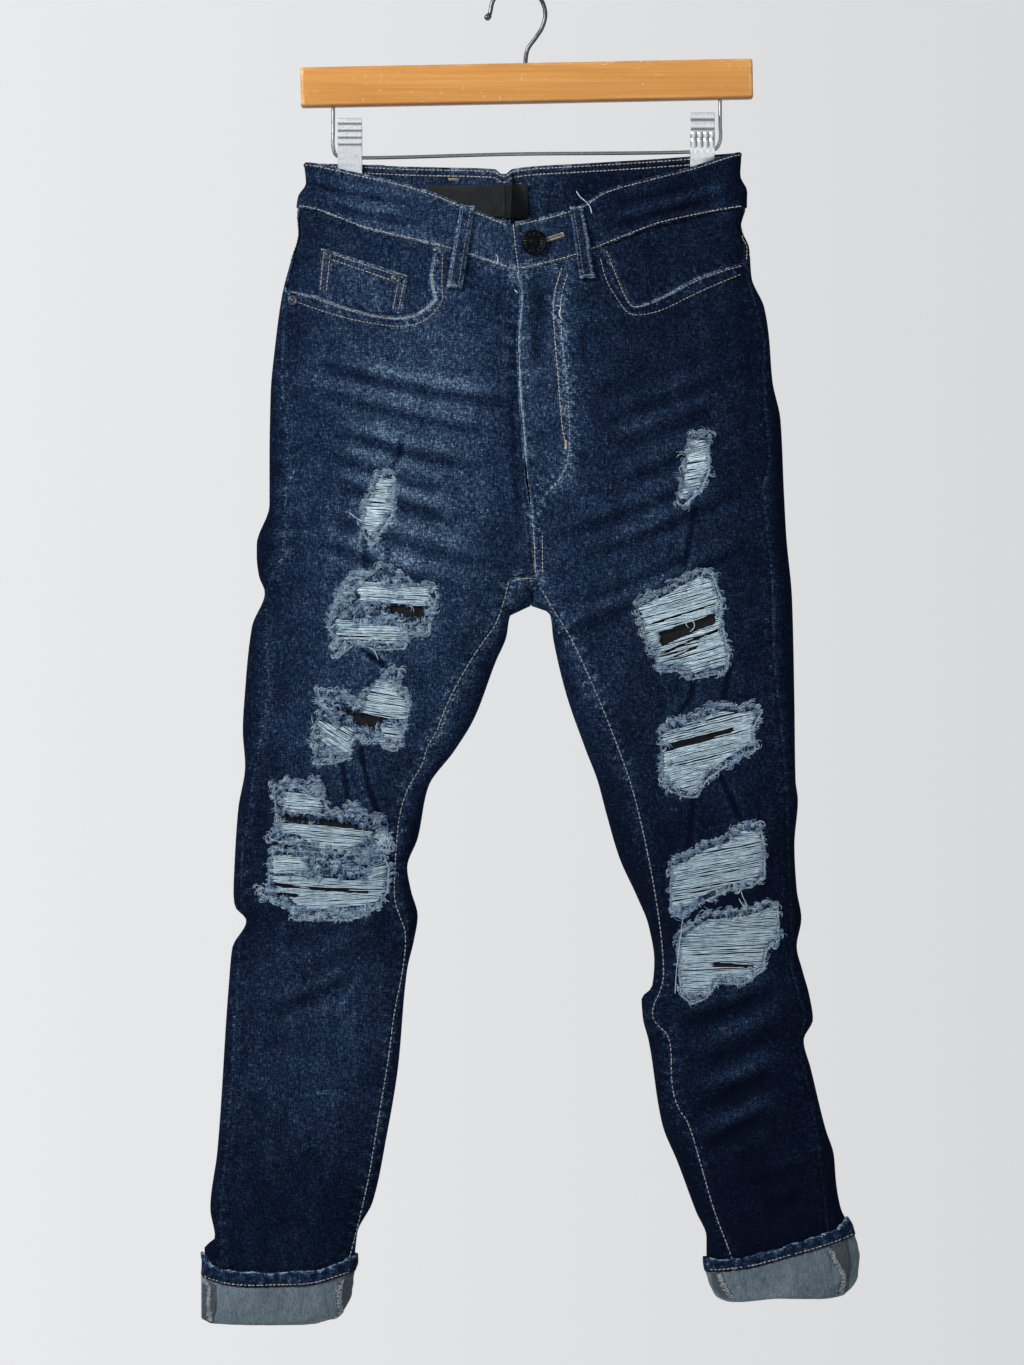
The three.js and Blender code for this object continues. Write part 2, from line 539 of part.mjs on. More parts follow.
// Pockets.
const liner = wall(-WALL - GAP, LINER_WALL);
const coinWall = wall(-0.1, WALL - 0.1);
const backPocketWall = wall(GAP + WALL, WALL);
add("pocket_facing_right", liner.intersect(prism(FACING_RIGHT, NEAR, 0)), DENIM_DARK);
add("pocket_facing_left", liner.intersect(prism(FACING_LEFT, NEAR, 0)), DENIM_DARK);
add("coin_pocket", coinWall.intersect(prism(COIN_POCKET, NEAR, 0)), DENIM);
add("back_pocket_right", backPocketWall.intersect(prism(BACK_POCKET_RIGHT, 0, FAR)), DENIM);
add("back_pocket_left", backPocketWall.intersect(prism(BACK_POCKET_LEFT, 0, FAR)), DENIM);

// Rips: bare threads level with the panel, and the black patch sewn behind them.
const threadWall = wall(-0.1, THREAD_WALL);
for (const { name, edge, slots = [] } of [...RIPS_RIGHT, ...RIPS_LEFT]) {
  const cuts = [slit(closed(edge), NEAR, 1), ...slots.map((hole) => prism(hole, NEAR, 1))];
  add(name, minus(threadWall.intersect(prism(edge, NEAR, 0)), ...cuts), THREADS);
}
add("rip_backing_right", liner.intersect(prism(BACKING_RIGHT, NEAR, 0)), BLACK_CLOTH);
add("rip_backing_left", liner.intersect(prism(BACKING_LEFT, NEAR, 0)), BLACK_CLOTH);

// Cuffs turned up outside the legs, with the doubled hem along their tops.
const cuffWall = wall(GAP + CUFF_WALL, CUFF_WALL);
const hemWall = wall(GAP + HEM_WALL, HEM_WALL);
function turnUp(side, top, hemFoot, foot) {
  const gap = slit(hemFoot, NEAR, FAR, GAP);
  const hem = hemWall.intersect(prism([...top, ...down(hemFoot)], NEAR, FAR));
  const cuff = cuffWall.intersect(prism([...hemFoot, ...down(foot)], NEAR, FAR));
  add("cuff_" + side, cuff.subtract(gap), DENIM_WRONG_SIDE);
  add("cuff_hem_" + side, hem.subtract(gap), DENIM_DARK);
}
turnUp("right", CUFF_TOP_RIGHT, HEM_FOOT_RIGHT, CUFF_FOOT_RIGHT);
turnUp("left", CUFF_TOP_LEFT, HEM_FOOT_LEFT, CUFF_FOOT_LEFT);

// Button and rivets: turned studs that face the front.
function stud(name, profile, segments, x, z, out, look) {
  const points = profile.map(([r, h]) => new THREE.Vector2(r, h));
  const geometry = new THREE.LatheGeometry(points, segments);
  geometry.rotateX(Math.PI);
  const rim = profile.reduce((most, [r]) => Math.max(most, r), 0);
  const ring = [0, 1, 2, 3, 4, 5, 6, 7].map((k) => (k * Math.PI) / 4);
  const nearest = Math.min(...ring.map((a) => faceY(x + rim * Math.cos(a), z + rim * Math.sin(a), out)));
  geometry.translate(x, nearest - GAP, z);
  add(name, solid(geometry), look);
}
const BUTTON_PROFILE = [[0, 0], [4, 0], [4, 1.2], [BUTTON_R - 0.6, 1.2], [BUTTON_R, 1.8], [BUTTON_R, 3], [BUTTON_R - 1.2, 3.8], [8.2, 3.8], [7.6, 3.2], [0, 3.2]];
const RIVET_PROFILE = [[0, 0], [RIVET_R, 0], [RIVET_R, 0.7], [3.1, 1.2], [2, 0.9], [1, 1.6], [0, 1.8]];
// A lathe runs up its axis, which the turn above points out of the cloth.
stud("button", BUTTON_PROFILE, 20, 14, -222, BAND_OUT, BUTTON_METAL);
stud("rivet_coin_outer", RIVET_PROFILE, 12, -163, -231.5, -0.1, RIVET_METAL);
stud("rivet_coin_inner", RIVET_PROFILE, 12, -104, -253, -0.1, RIVET_METAL);
stud("rivet_pocket_right", RIVET_PROFILE, 12, -193, -270, 0, RIVET_METAL);

// ---- Hanger -------------------------------------------------------------------------------------
function rounded(width, height, r) {
  const shape = new THREE.Shape();
  const x = width / 2;
  const y = height / 2;
  shape.moveTo(-x + r, -y);
  shape.lineTo(x - r, -y);
  shape.absarc(x - r, -y + r, r, -Math.PI / 2, 0);
  shape.lineTo(x, y - r);
  shape.absarc(x - r, y - r, r, 0, Math.PI / 2);
  shape.lineTo(-x + r, y);
  shape.absarc(-x + r, y - r, r, Math.PI / 2, Math.PI);
  shape.lineTo(-x, -y + r);
  shape.absarc(-x + r, -y + r, r, Math.PI, 1.5 * Math.PI);
  return shape;
}

// The wooden bar, a little higher at the wearer's left.
const BAR = { x: 8, y: 2, z: -81.5, width: 390, height: 32, tilt: THREE.MathUtils.degToRad(1.35) };
function barSolid() {
  const bevel = 2;
  const geometry = new THREE.ExtrudeGeometry(rounded(BAR.height, BAR_DEPTH, 3.5), {
    depth: BAR.width - 2 * bevel,
    bevelThickness: bevel,
    bevelSize: bevel,
    bevelOffset: -bevel,
    bevelSegments: 2,
    curveSegments: 3,
  });
  geometry.translate(0, 0, bevel - BAR.width / 2);
  geometry.rotateY(Math.PI / 2 - BAR.tilt);
  geometry.translate(BAR.x, BAR.y, BAR.z);
  return solid(geometry);
}

function wire(points, radius, steps) {
  const path = new THREE.CatmullRomCurve3(points.map((p) => new THREE.Vector3(...p)), false, "centripetal");
  const round = new THREE.Shape();
  round.absarc(0, 0, radius, 0, 2 * Math.PI);
  return solid(new THREE.ExtrudeGeometry(round, { steps, extrudePath: path, curveSegments: 4, bevelEnabled: false }));
}

// The hook: out of the bar, round its bend and back to a small ball at the tip.
const BEND_Z = HOOK_R - HOOK_BEND_R;
const bend = [-28, 0, 30, 60, 90, 120, 150, 180].map((degrees) => {
  const a = THREE.MathUtils.degToRad(degrees);
  return [HOOK_BEND_R * Math.cos(a), 0, BEND_Z + HOOK_BEND_R * Math.sin(a)];
});
const TIP = [-27.5, 0, BEND_Z - 4.5];
const HOOK_PATH = [[7, BAR.y, -76], [7, BAR.y, -62], [9, 1, -52], [16, 0, -42], ...bend, TIP];
const ball = new THREE.SphereGeometry(3, 12, 8);
ball.translate(...TIP);
add("hanger_hook", wire(HOOK_PATH, HOOK_R, 30).add(solid(ball)), HOOK_CHROME);

const FRAME_Y = 2.4;
const FRAME_PATH = [
  [-159, -92], [-159, -120], [-159, -137], [-156.5, -143.4], [-150, -145], [0, -142.3], [163, -139.5],
  [171.5, -137.5], [175, -130.5], [175, -115], [175, -86],
].map(([x, z]) => [x, FRAME_Y, z]);
add("hanger_wire", wire(FRAME_PATH, WIRE_R, 26), CHROME);

function upright(x, z0, z1, radius, y) {
  const hole = new THREE.CylinderGeometry(radius + GAP, radius + GAP, z1 - z0, 16);
  hole.rotateX(Math.PI / 2);
  hole.translate(x, y, (z0 + z1) / 2);
  return solid(hole);
}
const bores = [
  upright(7, -77, -50, HOOK_R + 0.2, BAR.y),
  upright(-159, -125, -91, WIRE_R + 0.2, FRAME_Y),
  upright(175, -115, -85, WIRE_R + 0.2, FRAME_Y),
];
add("hanger_bar", minus(barSolid(), ...bores), WOOD);

// Clip jaws, as side profiles in Y and Z: the front jaw goes inside the waist, the back jaw behind it.
// Its foot is given from the cloth it grips: `grip` is the depth of the back band's inside.
const JAW_WALL = 1.6;
const JAW_FOOT_Z = -165;
function frontJaw(grip) {
  return [
    [-4.2, -112], [-5.6, -114.5], [-4.4, -117.5], [-5.8, -121], [-4.6, -124], [-5.8, -127.5],
    [-4.6, -130.5], [-5.6, -134], [-4.2, -138], [-3.4, -142], [-2.2, -148],
    [grip - JAW_WALL, -153], [grip - JAW_WALL, JAW_FOOT_Z + 1], [grip - JAW_WALL / 2, JAW_FOOT_Z],
    [grip, JAW_FOOT_Z + 1], [grip, -152], [0.2, -149.5], [-0.6, -147], [-1.4, -141], [-2.6, -136],
    [-2.6, -112],
  ];
}
function backJaw(grip) {
  const back = grip + JAW_WALL;
  return [[grip, JAW_FOOT_Z], [back, JAW_FOOT_Z + 1], [back, -119], [back - 0.8, -117], [grip, -118]];
}
function jaw(name, profile, x, lift) {
  const shape = new THREE.Shape(profile.map(([y, z]) => new THREE.Vector2(y, z + lift)));
  const geometry = new THREE.ExtrudeGeometry(shape, { depth: CLIP_WIDTH, bevelEnabled: false });
  geometry.rotateX(Math.PI / 2);
  geometry.rotateZ(Math.PI / 2);
  geometry.translate(x - CLIP_WIDTH / 2, 0, 0);
  add(name, solid(geometry), CHROME);
}
CLIP_X.forEach((x, side) => {
  const lift = side ? 5 : 0;
  const hand = side ? "left" : "right";
  const across = [-0.5, -0.25, 0, 0.25, 0.5].map((share) => x + share * CLIP_WIDTH);
  const foot = [-150, -154, -158, JAW_FOOT_Z].map((z) => z + lift);
  const spots = across.flatMap((at) => foot.map((z) => [at, z]));
  const inside = Math.min(...spots.map(([at, z]) => faceY(at, z, BAND_OUT - BAND_WALL, false)));
  const outside = Math.max(...spots.map(([at, z]) => faceY(at, z, BAND_OUT, false)));
  jaw("clip_front_" + hand, frontJaw(inside - GAP), x, lift);
  jaw("clip_back_" + hand, backJaw(outside + GAP), x, lift);
});

export default part;
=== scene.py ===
"""Ripped five-pocket jeans with turned-up cuffs, hung by the back of the waist from a clip hanger.

The numbers of the layout are millimetres in the row frame: x to the wearer's left, z up, and the
wearer's front at -y. Meshes are made in metres. A point of the cloth is given either by its place
on the section loop of one leg (theta 0 at the outer edge, 1 at the inner edge, 2 back at the outer
edge by way of the back) or by x and z on the front or back face.

The points of the outlines, seams and rips were read off the photo by eye and turned into millimetres
by scratch scripts, as report.md says under "Open breach".
"""
import math

import bpy
import numpy as np
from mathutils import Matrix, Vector
from mathutils.geometry import delaunay_2d_cdt


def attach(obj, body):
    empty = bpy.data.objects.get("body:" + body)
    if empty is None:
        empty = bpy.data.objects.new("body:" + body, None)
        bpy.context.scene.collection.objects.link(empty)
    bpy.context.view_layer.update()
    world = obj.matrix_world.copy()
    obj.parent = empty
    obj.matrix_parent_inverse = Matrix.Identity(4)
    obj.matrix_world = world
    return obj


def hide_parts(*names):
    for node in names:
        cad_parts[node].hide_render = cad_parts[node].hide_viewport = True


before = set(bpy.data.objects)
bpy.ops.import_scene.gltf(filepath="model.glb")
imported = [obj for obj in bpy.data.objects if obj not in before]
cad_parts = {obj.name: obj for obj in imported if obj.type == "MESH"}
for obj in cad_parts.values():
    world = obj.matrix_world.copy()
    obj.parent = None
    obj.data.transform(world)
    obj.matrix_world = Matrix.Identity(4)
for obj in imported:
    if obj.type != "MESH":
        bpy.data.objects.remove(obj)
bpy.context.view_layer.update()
MM = 0.001
RIGHT, LEFT = 0, 1  # the wearer's legs
HANDS = ((RIGHT, "right"), (LEFT, "left"))
FRONT, BACK = True, False

# ---- Cloth thicknesses and lifts off the panels' face --------------------------------------------
WALL = 1.3
BAND_OUT, BAND_WALL = 1.1, 2.4
FLY_LIFT = 1.1  # the left front laps over the right by this
CUFF_OUT, CUFF_WALL = 2.0, 1.5
HEM_OUT, HEM_WALL = 3.0, 2.4
LOOP_OUT, LOOP_WALL = 3.0, 1.8
LINER_OUT, LINER_WALL = -1.8, 1.0
PATCH_OUT, PATCH_WALL = -3.2, 1.0
CROTCH_Z = -533.0
SADDLE_RISE = 85.0
HIP_FULLNESS = 3.2
LEG_FULLNESS = 2.6
CLIP_X = (-144.5, 159.5)
ARC = 200.0  # millimetres of cloth that one unit of theta stands for when panels are meshed
EDGE_TUCK, PATCH_TUCK = 0.35, 0.4  # how far the rims of panels and patches are drawn in, for a soft edge

# ---- Edges of the form, [x, z] from top to bottom ------------------------------------------------
OUTER_RIGHT = [
    [-183, -130], [-183, -150], [-181, -168], [-188, -179], [-190, -194], [-189, -211],
    [-195, -233], [-203, -264], [-209, -307], [-213, -350], [-214, -407], [-214, -445],
    [-225, -480], [-225, -490], [-223, -507], [-218, -521], [-229, -550], [-235, -605],
    [-237, -640], [-235, -670], [-241, -708], [-244, -752], [-245, -780], [-244, -791],
    [-234, -804], [-246, -827], [-249, -858], [-259, -1003], [-265, -1052], [-261, -1077],
    [-270, -1086], [-270, -1160],
]
INNER_RIGHT = [
    [12, -533], [-4, -536], [-10, -561], [-18, -579], [-38, -631], [-54, -657], [-77, -689],
    [-86, -733], [-95, -758], [-92, -777], [-86, -800], [-89, -820], [-95, -846], [-103, -931],
    [-113, -991], [-125, -1047], [-138, -1073], [-140, -1090], [-145, -1125], [-150, -1136],
    [-158, -1146], [-171, -1151], [-171, -1160],
]
INNER_LEFT = [
    [12, -533], [27, -537], [31, -562], [41, -605], [59, -657], [69, -683], [77, -713],
    [88, -750], [103, -783], [113, -808], [118, -839], [116, -861], [107, -871], [108, -887],
    [113, -907], [125, -980], [138, -1012], [154, -1055], [163, -1077], [163, -1093],
    [165, -1109], [172, -1127], [181, -1133], [181, -1160],
]
OUTER_LEFT = [
    [192, -130], [192, -142], [191, -161], [197, -175], [197, -188], [193, -205], [200, -224],
    [202, -249], [213, -275], [217, -300], [220, -338], [227, -372], [230, -435], [232, -472],
    [237, -527], [239, -614], [240, -683], [242, -700], [239, -739], [241, -777], [245, -802],
    [241, -826], [246, -847], [252, -869], [255, -889], [247, -907], [253, -931], [266, -984],
    [273, -1006], [275, -1030], [279, -1052], [286, -1067], [293, -1095], [292, -1109],
    [281, -1126], [271, -1130], [271, -1160],
]
CENTRE = [
    [-4, -130], [-6, -206], [-1, -249], [3, -270], [1, -304], [2, -355], [6, -400], [12, -453],
    [15, -508], [12, -533],
]
# Half depth of the section in front of and behind the middle plane, as [depth, z].
FRONT_DEPTH = [
    [21, -130], [25, -200], [26, -300], [23, -420], [19, -533], [17, -700], [16, -850],
    [15, -1000], [15, -1160],
]
BACK_DEPTH = [
    [11, -130], [15, -200], [21, -300], [23, -420], [18, -533], [15, -700], [15, -850],
    [14, -1000], [14, -1160],
]

# ---- Seams, as [x, z] seen from the front --------------------------------------------------------
BAND_TOP_RIGHT = [
    [-205, -149], [-183, -150], [-152, -156], [-101, -169], [-73, -178], [-47, -189], [-6, -206],
]
BAND_TOP_LEFT = [
    [-6, -206], [-2, -205], [41, -194], [61, -186], [70, -179], [110, -166], [150, -154],
    [192, -141], [205, -139],
]
BAND_FOOT_RIGHT = [[-205, -189], [-188, -190], [-122, -212], [-56, -229], [-40, -234], [-1, -247]]
BAND_FOOT_LEFT = [[-1, -247], [43, -236], [63, -229], [98, -215], [125, -205], [195, -190], [215, -188]]
BACK_BAND_TOP = [
    [-210, -149], [-183, -150], [-100, -152], [-20, -154], [-12, -159], [-4, -154], [60, -149],
    [150, -144], [192, -141], [215, -139],
]
BACK_BAND_FOOT = [
    [-210, -189], [-188, -190], [-100, -194], [-12, -200], [60, -196], [150, -191], [195, -190],
    [215, -188],
]
FLY = [
    [-6, -206], [-4, -227], [-1, -249], [3, -263], [3, -277], [0, -304], [2, -355], [5, -385],
    [7, -423], [12, -453], [15, -508],
]
INSEAM_RIGHT = [
    [15, -508], [0, -508], [-6, -512], [-10, -530], [-18, -551], [-26, -561], [-41, -583],
    [-58, -614], [-69, -644], [-77, -655], [-80, -670], [-93, -689], [-100, -711], [-102, -730],
    [-104, -754], [-105, -784], [-100, -799], [-94, -814], [-97, -846], [-105, -883],
    [-109, -919], [-115, -955], [-123, -1003], [-127, -1028], [-138, -1074], [-148, -1112],
    [-152, -1143],
]
OUTSEAM_RIGHT = [
    [-188, -190], [-197, -248], [-201, -264], [-203, -338], [-196, -420], [-200, -432],
    [-200, -485], [-216, -515], [-217, -546], [-214, -605], [-225, -666], [-238, -752],
    [-238, -800], [-243, -883], [-249, -980], [-256, -1052], [-255, -1083], [-262, -1143],
]
INSEAM_LEFT = [
    [15, -508], [20, -520], [29, -536], [44, -558], [69, -613], [96, -683], [107, -728],
    [115, -768], [122, -811], [125, -847], [123, -861], [114, -879], [117, -893], [131, -903],
    [131, -946], [137, -966], [146, -977], [156, -1012], [168, -1055], [183, -1092], [190, -1123],
]
OUTSEAM_LEFT = [
    [195, -190], [196, -243], [213, -305], [211, -338], [217, -408], [211, -433], [219, -511],
    [220, -572], [231, -683], [235, -791], [236, -846], [248, -886], [242, -908], [257, -984],
    [267, -1073], [272, -1123],
]
YOKE_FOOT = [[-240, -228], [-190, -232], [-100, -256], [-4, -278], [95, -254], [195, -230], [240, -226]]
POCKET_RIGHT = [
    [-72, -225], [-72, -231], [-75, -251], [-73, -263], [-70, -270], [-78, -277], [-89, -284],
    [-103, -286], [-124, -283], [-147, -277], [-172, -267], [-198, -260],
]
POCKET_LEFT = [
    [76, -221], [78, -228], [87, -251], [95, -270], [100, -277], [124, -268], [152, -252],
    [174, -244], [193, -238], [200, -236],
]
COIN_POCKET = [[-169, -225], [-94, -250], [-100, -283], [-124, -281], [-147, -275], [-172, -266]]
BACK_POCKET_RIGHT = [[-168, -292], [-36, -303], [-42, -420], [-104, -447], [-162, -412]]
BACK_POCKET_LEFT = [[40, -303], [172, -290], [168, -410], [110, -446], [46, -420]]
J_INNER = [[38, -243], [30, -269], [32, -305], [35, -337], [38, -380], [42, -396]]
J_OUTER = [
    [45, -243], [36, -269], [38, -305], [42, -337], [45, -380], [44, -406], [38, -423],
    [25, -436], [14, -452],
]
CUFF_TOP_RIGHT = [
    [-290, -1075], [-270, -1089], [-258, -1101], [-210, -1105], [-174, -1103], [-140, -1091],
    [-120, -1084],
]
HEM_FOOT_RIGHT = [
    [-290, -1100], [-274, -1107], [-263, -1113], [-234, -1118], [-186, -1117], [-152, -1109],
    [-120, -1098],
]
CUFF_FOOT_RIGHT = [
    [-290, -1145], [-272, -1147], [-263, -1150], [-171, -1151], [-160, -1149], [-120, -1146],
]
CUFF_TOP_LEFT = [
    [145, -1094], [181, -1094], [217, -1086], [247, -1077], [271, -1069], [281, -1060],
    [310, -1048],
]
HEM_FOOT_LEFT = [
    [145, -1104], [164, -1106], [197, -1102], [237, -1091], [261, -1084], [287, -1075],
    [312, -1066],
]
CUFF_FOOT_LEFT = [
    [145, -1125], [165, -1126], [181, -1132], [227, -1128], [271, -1129], [290, -1124],
    [315, -1120],
]
LABEL = [[-80, -168], [9, -168], [9, -196], [-80, -196]]

# ---- Rips: the frayed outline, and the slots worn right through the threads ----------------------
# tilt is the run of the bare threads, as a rise over a run. A rip with ladders has bare threads only in
# those, each with its own tilt. Otherwise they fill it up to the tufts along its top and foot.
RIPS = [
    dict(name="thigh_right", leg=RIGHT, tilt=-0.06, slots=[], edge=[
        [-118, -418], [-107, -419], [-108, -455], [-120, -472], [-123, -480], [-131, -472],
        [-133, -460], [-131, -445], [-125, -431]]),
    dict(name="upper_right", leg=RIGHT, tilt=-0.07, slots=[
        [[-114, -531], [-77, -534], [-79, -545], [-107, -539]]], ladders=[
        ([[-138, -511], [-76, -518], [-76, -533], [-134, -528]], -0.06),
        ([[-156, -544], [-94, -552], [-98, -564], [-134, -566], [-155, -560]], -0.02)], edge=[
        [-140, -508], [-125, -507], [-116, -496], [-95, -510], [-86, -515], [-75, -515],
        [-69, -524], [-77, -545], [-76, -555], [-95, -556], [-97, -569], [-121, -570],
        [-139, -564], [-155, -577], [-158, -570], [-156, -558], [-163, -550], [-158, -540],
        [-156, -528], [-150, -517]]),
    dict(name="knee_right", leg=RIGHT, tilt=-0.1, slots=[
        [[-164, -614], [-153, -619], [-140, -625], [-128, -625], [-112, -630], [-121, -637],
         [-131, -638], [-144, -630], [-158, -622]]], ladders=[
        ([[-121, -590], [-104, -603], [-94, -618], [-94, -631], [-133, -625]], -0.16),
        ([[-116, -634], [-98, -636], [-100, -650], [-115, -646]], -0.1),
        ([[-171, -632], [-141, -638], [-144, -658], [-152, -661], [-168, -648]], -0.62)], edge=[
        [-171, -605], [-150, -607], [-140, -617], [-129, -608], [-118, -596], [-108, -585],
        [-102, -588], [-104, -602], [-95, -610], [-94, -623], [-99, -644], [-104, -657],
        [-113, -655], [-119, -646], [-129, -649], [-138, -642], [-144, -650], [-145, -663],
        [-160, -668], [-174, -668], [-171, -652], [-177, -646], [-171, -629], [-166, -621]]),
    dict(name="shin_upper_right", leg=RIGHT, tilt=-0.09, slots=[
        [[-168, -715], [-129, -722], [-129, -726], [-172, -721]],
        [[-201, -711], [-172, -717], [-174, -720], [-201, -717]]], ladders=[
        ([[-202, -692], [-169, -696], [-169, -713], [-201, -708]], -0.1),
        ([[-205, -719], [-162, -721], [-123, -727], [-131, -735], [-149, -742], [-172, -739],
          [-188, -729], [-205, -727]], -0.09)], edge=[
        [-209, -689], [-196, -682], [-187, -690], [-174, -681], [-168, -693], [-164, -708],
        [-150, -713], [-144, -702], [-131, -713], [-119, -714], [-119, -724], [-108, -733],
        [-112, -743], [-138, -742], [-201, -736], [-213, -732], [-204, -719], [-207, -708]]),
    dict(name="shin_lower_right", leg=RIGHT, tilt=-0.04, slots=[
        [[-211, -770], [-188, -773], [-188, -775.4], [-211, -773]],
        [[-209, -778], [-189, -780], [-190, -783.5], [-207, -781]],
        [[-177, -774], [-129, -777.5], [-129, -779.5], [-177, -776.5]]], ladders=[
        ([[-210, -746], [-188, -747], [-180, -757], [-180, -764], [-212, -762]], -0.05),
        ([[-131, -758], [-115, -752], [-113, -764], [-129, -769]], 0.25),
        ([[-213, -764], [-131, -769], [-113, -766], [-115, -778], [-205, -777]], -0.04),
        ([[-209, -776], [-115, -778], [-120, -786], [-127, -789], [-187, -795], [-191, -786]], 0.06)], edge=[
        [-209, -743], [-115, -748], [-111, -758], [-112, -777], [-119, -790], [-129, -796],
        [-144, -802], [-192, -802], [-193, -792], [-213, -784], [-224, -777], [-213, -775],
        [-213, -758]]),
    dict(name="thigh_left", leg=LEFT, tilt=0.2, slots=[], edge=[
        [151, -385], [165, -386], [163, -400], [164, -417], [157, -433], [150, -439],
        [142, -447], [137, -443], [140, -431], [145, -411], [145, -396]]),
    dict(name="upper_left", leg=LEFT, tilt=0.27, slots=[
        [[122, -555], [169, -539], [169, -548], [124, -567]],
        [[110, -549], [169, -530], [169, -532], [110, -551]],
        [[125, -572], [172, -552], [172, -554], [125, -574.5]],
        [[135, -574], [153, -567], [153, -569.5], [135, -577]]], edge=[
        [102, -531], [113, -525], [128, -519], [140, -511], [157, -503], [167, -506],
        [171, -519], [175, -527], [173, -541], [177, -557], [181, -576], [179, -588],
        [169, -591], [146, -596], [139, -588], [120, -588], [119, -572], [112, -570],
        [108, -552]]),
    dict(name="knee_left", leg=LEFT, tilt=0.25, slots=[
        [[126, -652], [184, -637], [185, -641], [127, -658]]], edge=[
        [122, -641], [132, -633], [154, -627], [172, -618], [192, -620], [200, -618],
        [210, -623], [202, -638], [204, -657], [196, -658], [185, -665], [162, -682],
        [154, -696], [143, -696], [131, -691], [125, -682], [125, -662]]),
    dict(name="shin_upper_left", leg=LEFT, tilt=0.18, slots=[], edge=[
        [133, -752], [145, -747], [162, -737], [181, -731], [194, -721], [208, -721],
        [212, -739], [212, -765], [200, -774], [180, -777], [157, -787], [145, -796],
        [132, -796], [132, -774]]),
    dict(name="shin_lower_left", leg=LEFT, tilt=0.04, thin=0.13, slots=[
        [[169, -839], [201, -840], [201, -843], [169, -843]]], edge=[
        [150, -806], [164, -797], [199, -794], [216, -787], [223, -791], [224, -806],
        [224, -821], [214, -827], [212, -835], [212, -844], [194, -857], [171, -856],
        [162, -869], [150, -874], [141, -867], [140, -852], [137, -828], [141, -814]]),
]


# ---- Folds: creases with painted shade in the trough and a rubbed, paler ridge above it ----------
RIDGE_WASH, RIDGE_DEPTH = 0.55, 0.5  # a ridge's wash and height as shares of its trough's
FOLD_SPREAD = 4.0  # how much more each fold of a set falls than the one above it


def fold_set(start, end, pitch, count, half, wash, depth, seed, sag=6.0):
    """Folds one below another, the top one from start to end; each is (run, half width, wash, depth). The
    trough's darker wash is painted shade.
    """
    rng = np.random.default_rng(seed)
    folds = []
    for number in range(count):
        first, last = rng.uniform(0.0, 0.34), rng.uniform(0.62, 1.0)
        fall = (end[1] - start[1]) - number * FOLD_SPREAD
        share = np.linspace(first, last, 5)
        x = start[0] + (end[0] - start[0]) * share
        z = start[1] - number * pitch + fall * share - sag * np.sin(math.pi * share)
        z = z + rng.normal(0, 0.12 * pitch)
        amount, wide = rng.uniform(0.7, 1.2), half * rng.uniform(0.8, 1.2)
        folds.append((np.stack([x, z], axis=1).tolist(), wide, -wash * amount, depth * amount))
        folds.append((
            np.stack([x, z + pitch * 0.5], axis=1).tolist(), wide * 1.25,
            wash * amount * RIDGE_WASH, -depth * amount * RIDGE_DEPTH))
    return folds


FRONT_FOLDS = [
    # the fly: painted shadow beside its lapped edge, painted shade in a fold of the flap, and two paler
    # ridges
    ([[-3, -262], [-4, -330], [-2, -400], [2, -470]], 3.5, -0.16, 1.0),
    ([[20, -250], [20, -290], [14, -330]], 6, -0.14, 1.8),
    ([[10, -260], [9, -330], [14, -400], [18, -440]], 4.5, 0.08, -0.6),
    ([[36, -262], [38, -330], [41, -385]], 3, 0.07, -0.3),
    # pale rubs on the right shin
    ([[-190, -955], [-165, -950], [-140, -955]], 1.6, 0.15, -0.8),
    ([[-135, -850], [-165, -900]], 2.5, 0.10, -0.6),
    *fold_set((-198, -318), (-2, -362), 24, 8, 4.6, 0.15, 1.6, seed=1),  # whiskers over the right hip
    *fold_set((212, -320), (28, -385), 26, 7, 4.6, 0.11, 1.4, seed=2),  # and over the left
    *fold_set((-186, -168), (-60, -192), 13, 2, 3.2, 0.13, 1.2, seed=3, sag=2.0),  # waistband, right
    *fold_set((190, -160), (68, -194), 13, 2, 3.4, 0.15, 1.5, seed=4, sag=2.0),  # and left
    *fold_set((244, -850), (140, -892), 32, 4, 7.5, 0.20, 3.0, seed=5),  # bunched below the left knee
    *fold_set((-112, -806), (-218, -852), 34, 2, 6.5, 0.09, 2.2, seed=6),  # slack below the right knee
    *fold_set((268, -1005), (190, -1030), 26, 2, 6.0, 0.07, 1.8, seed=7),  # slack above the left cuff
]

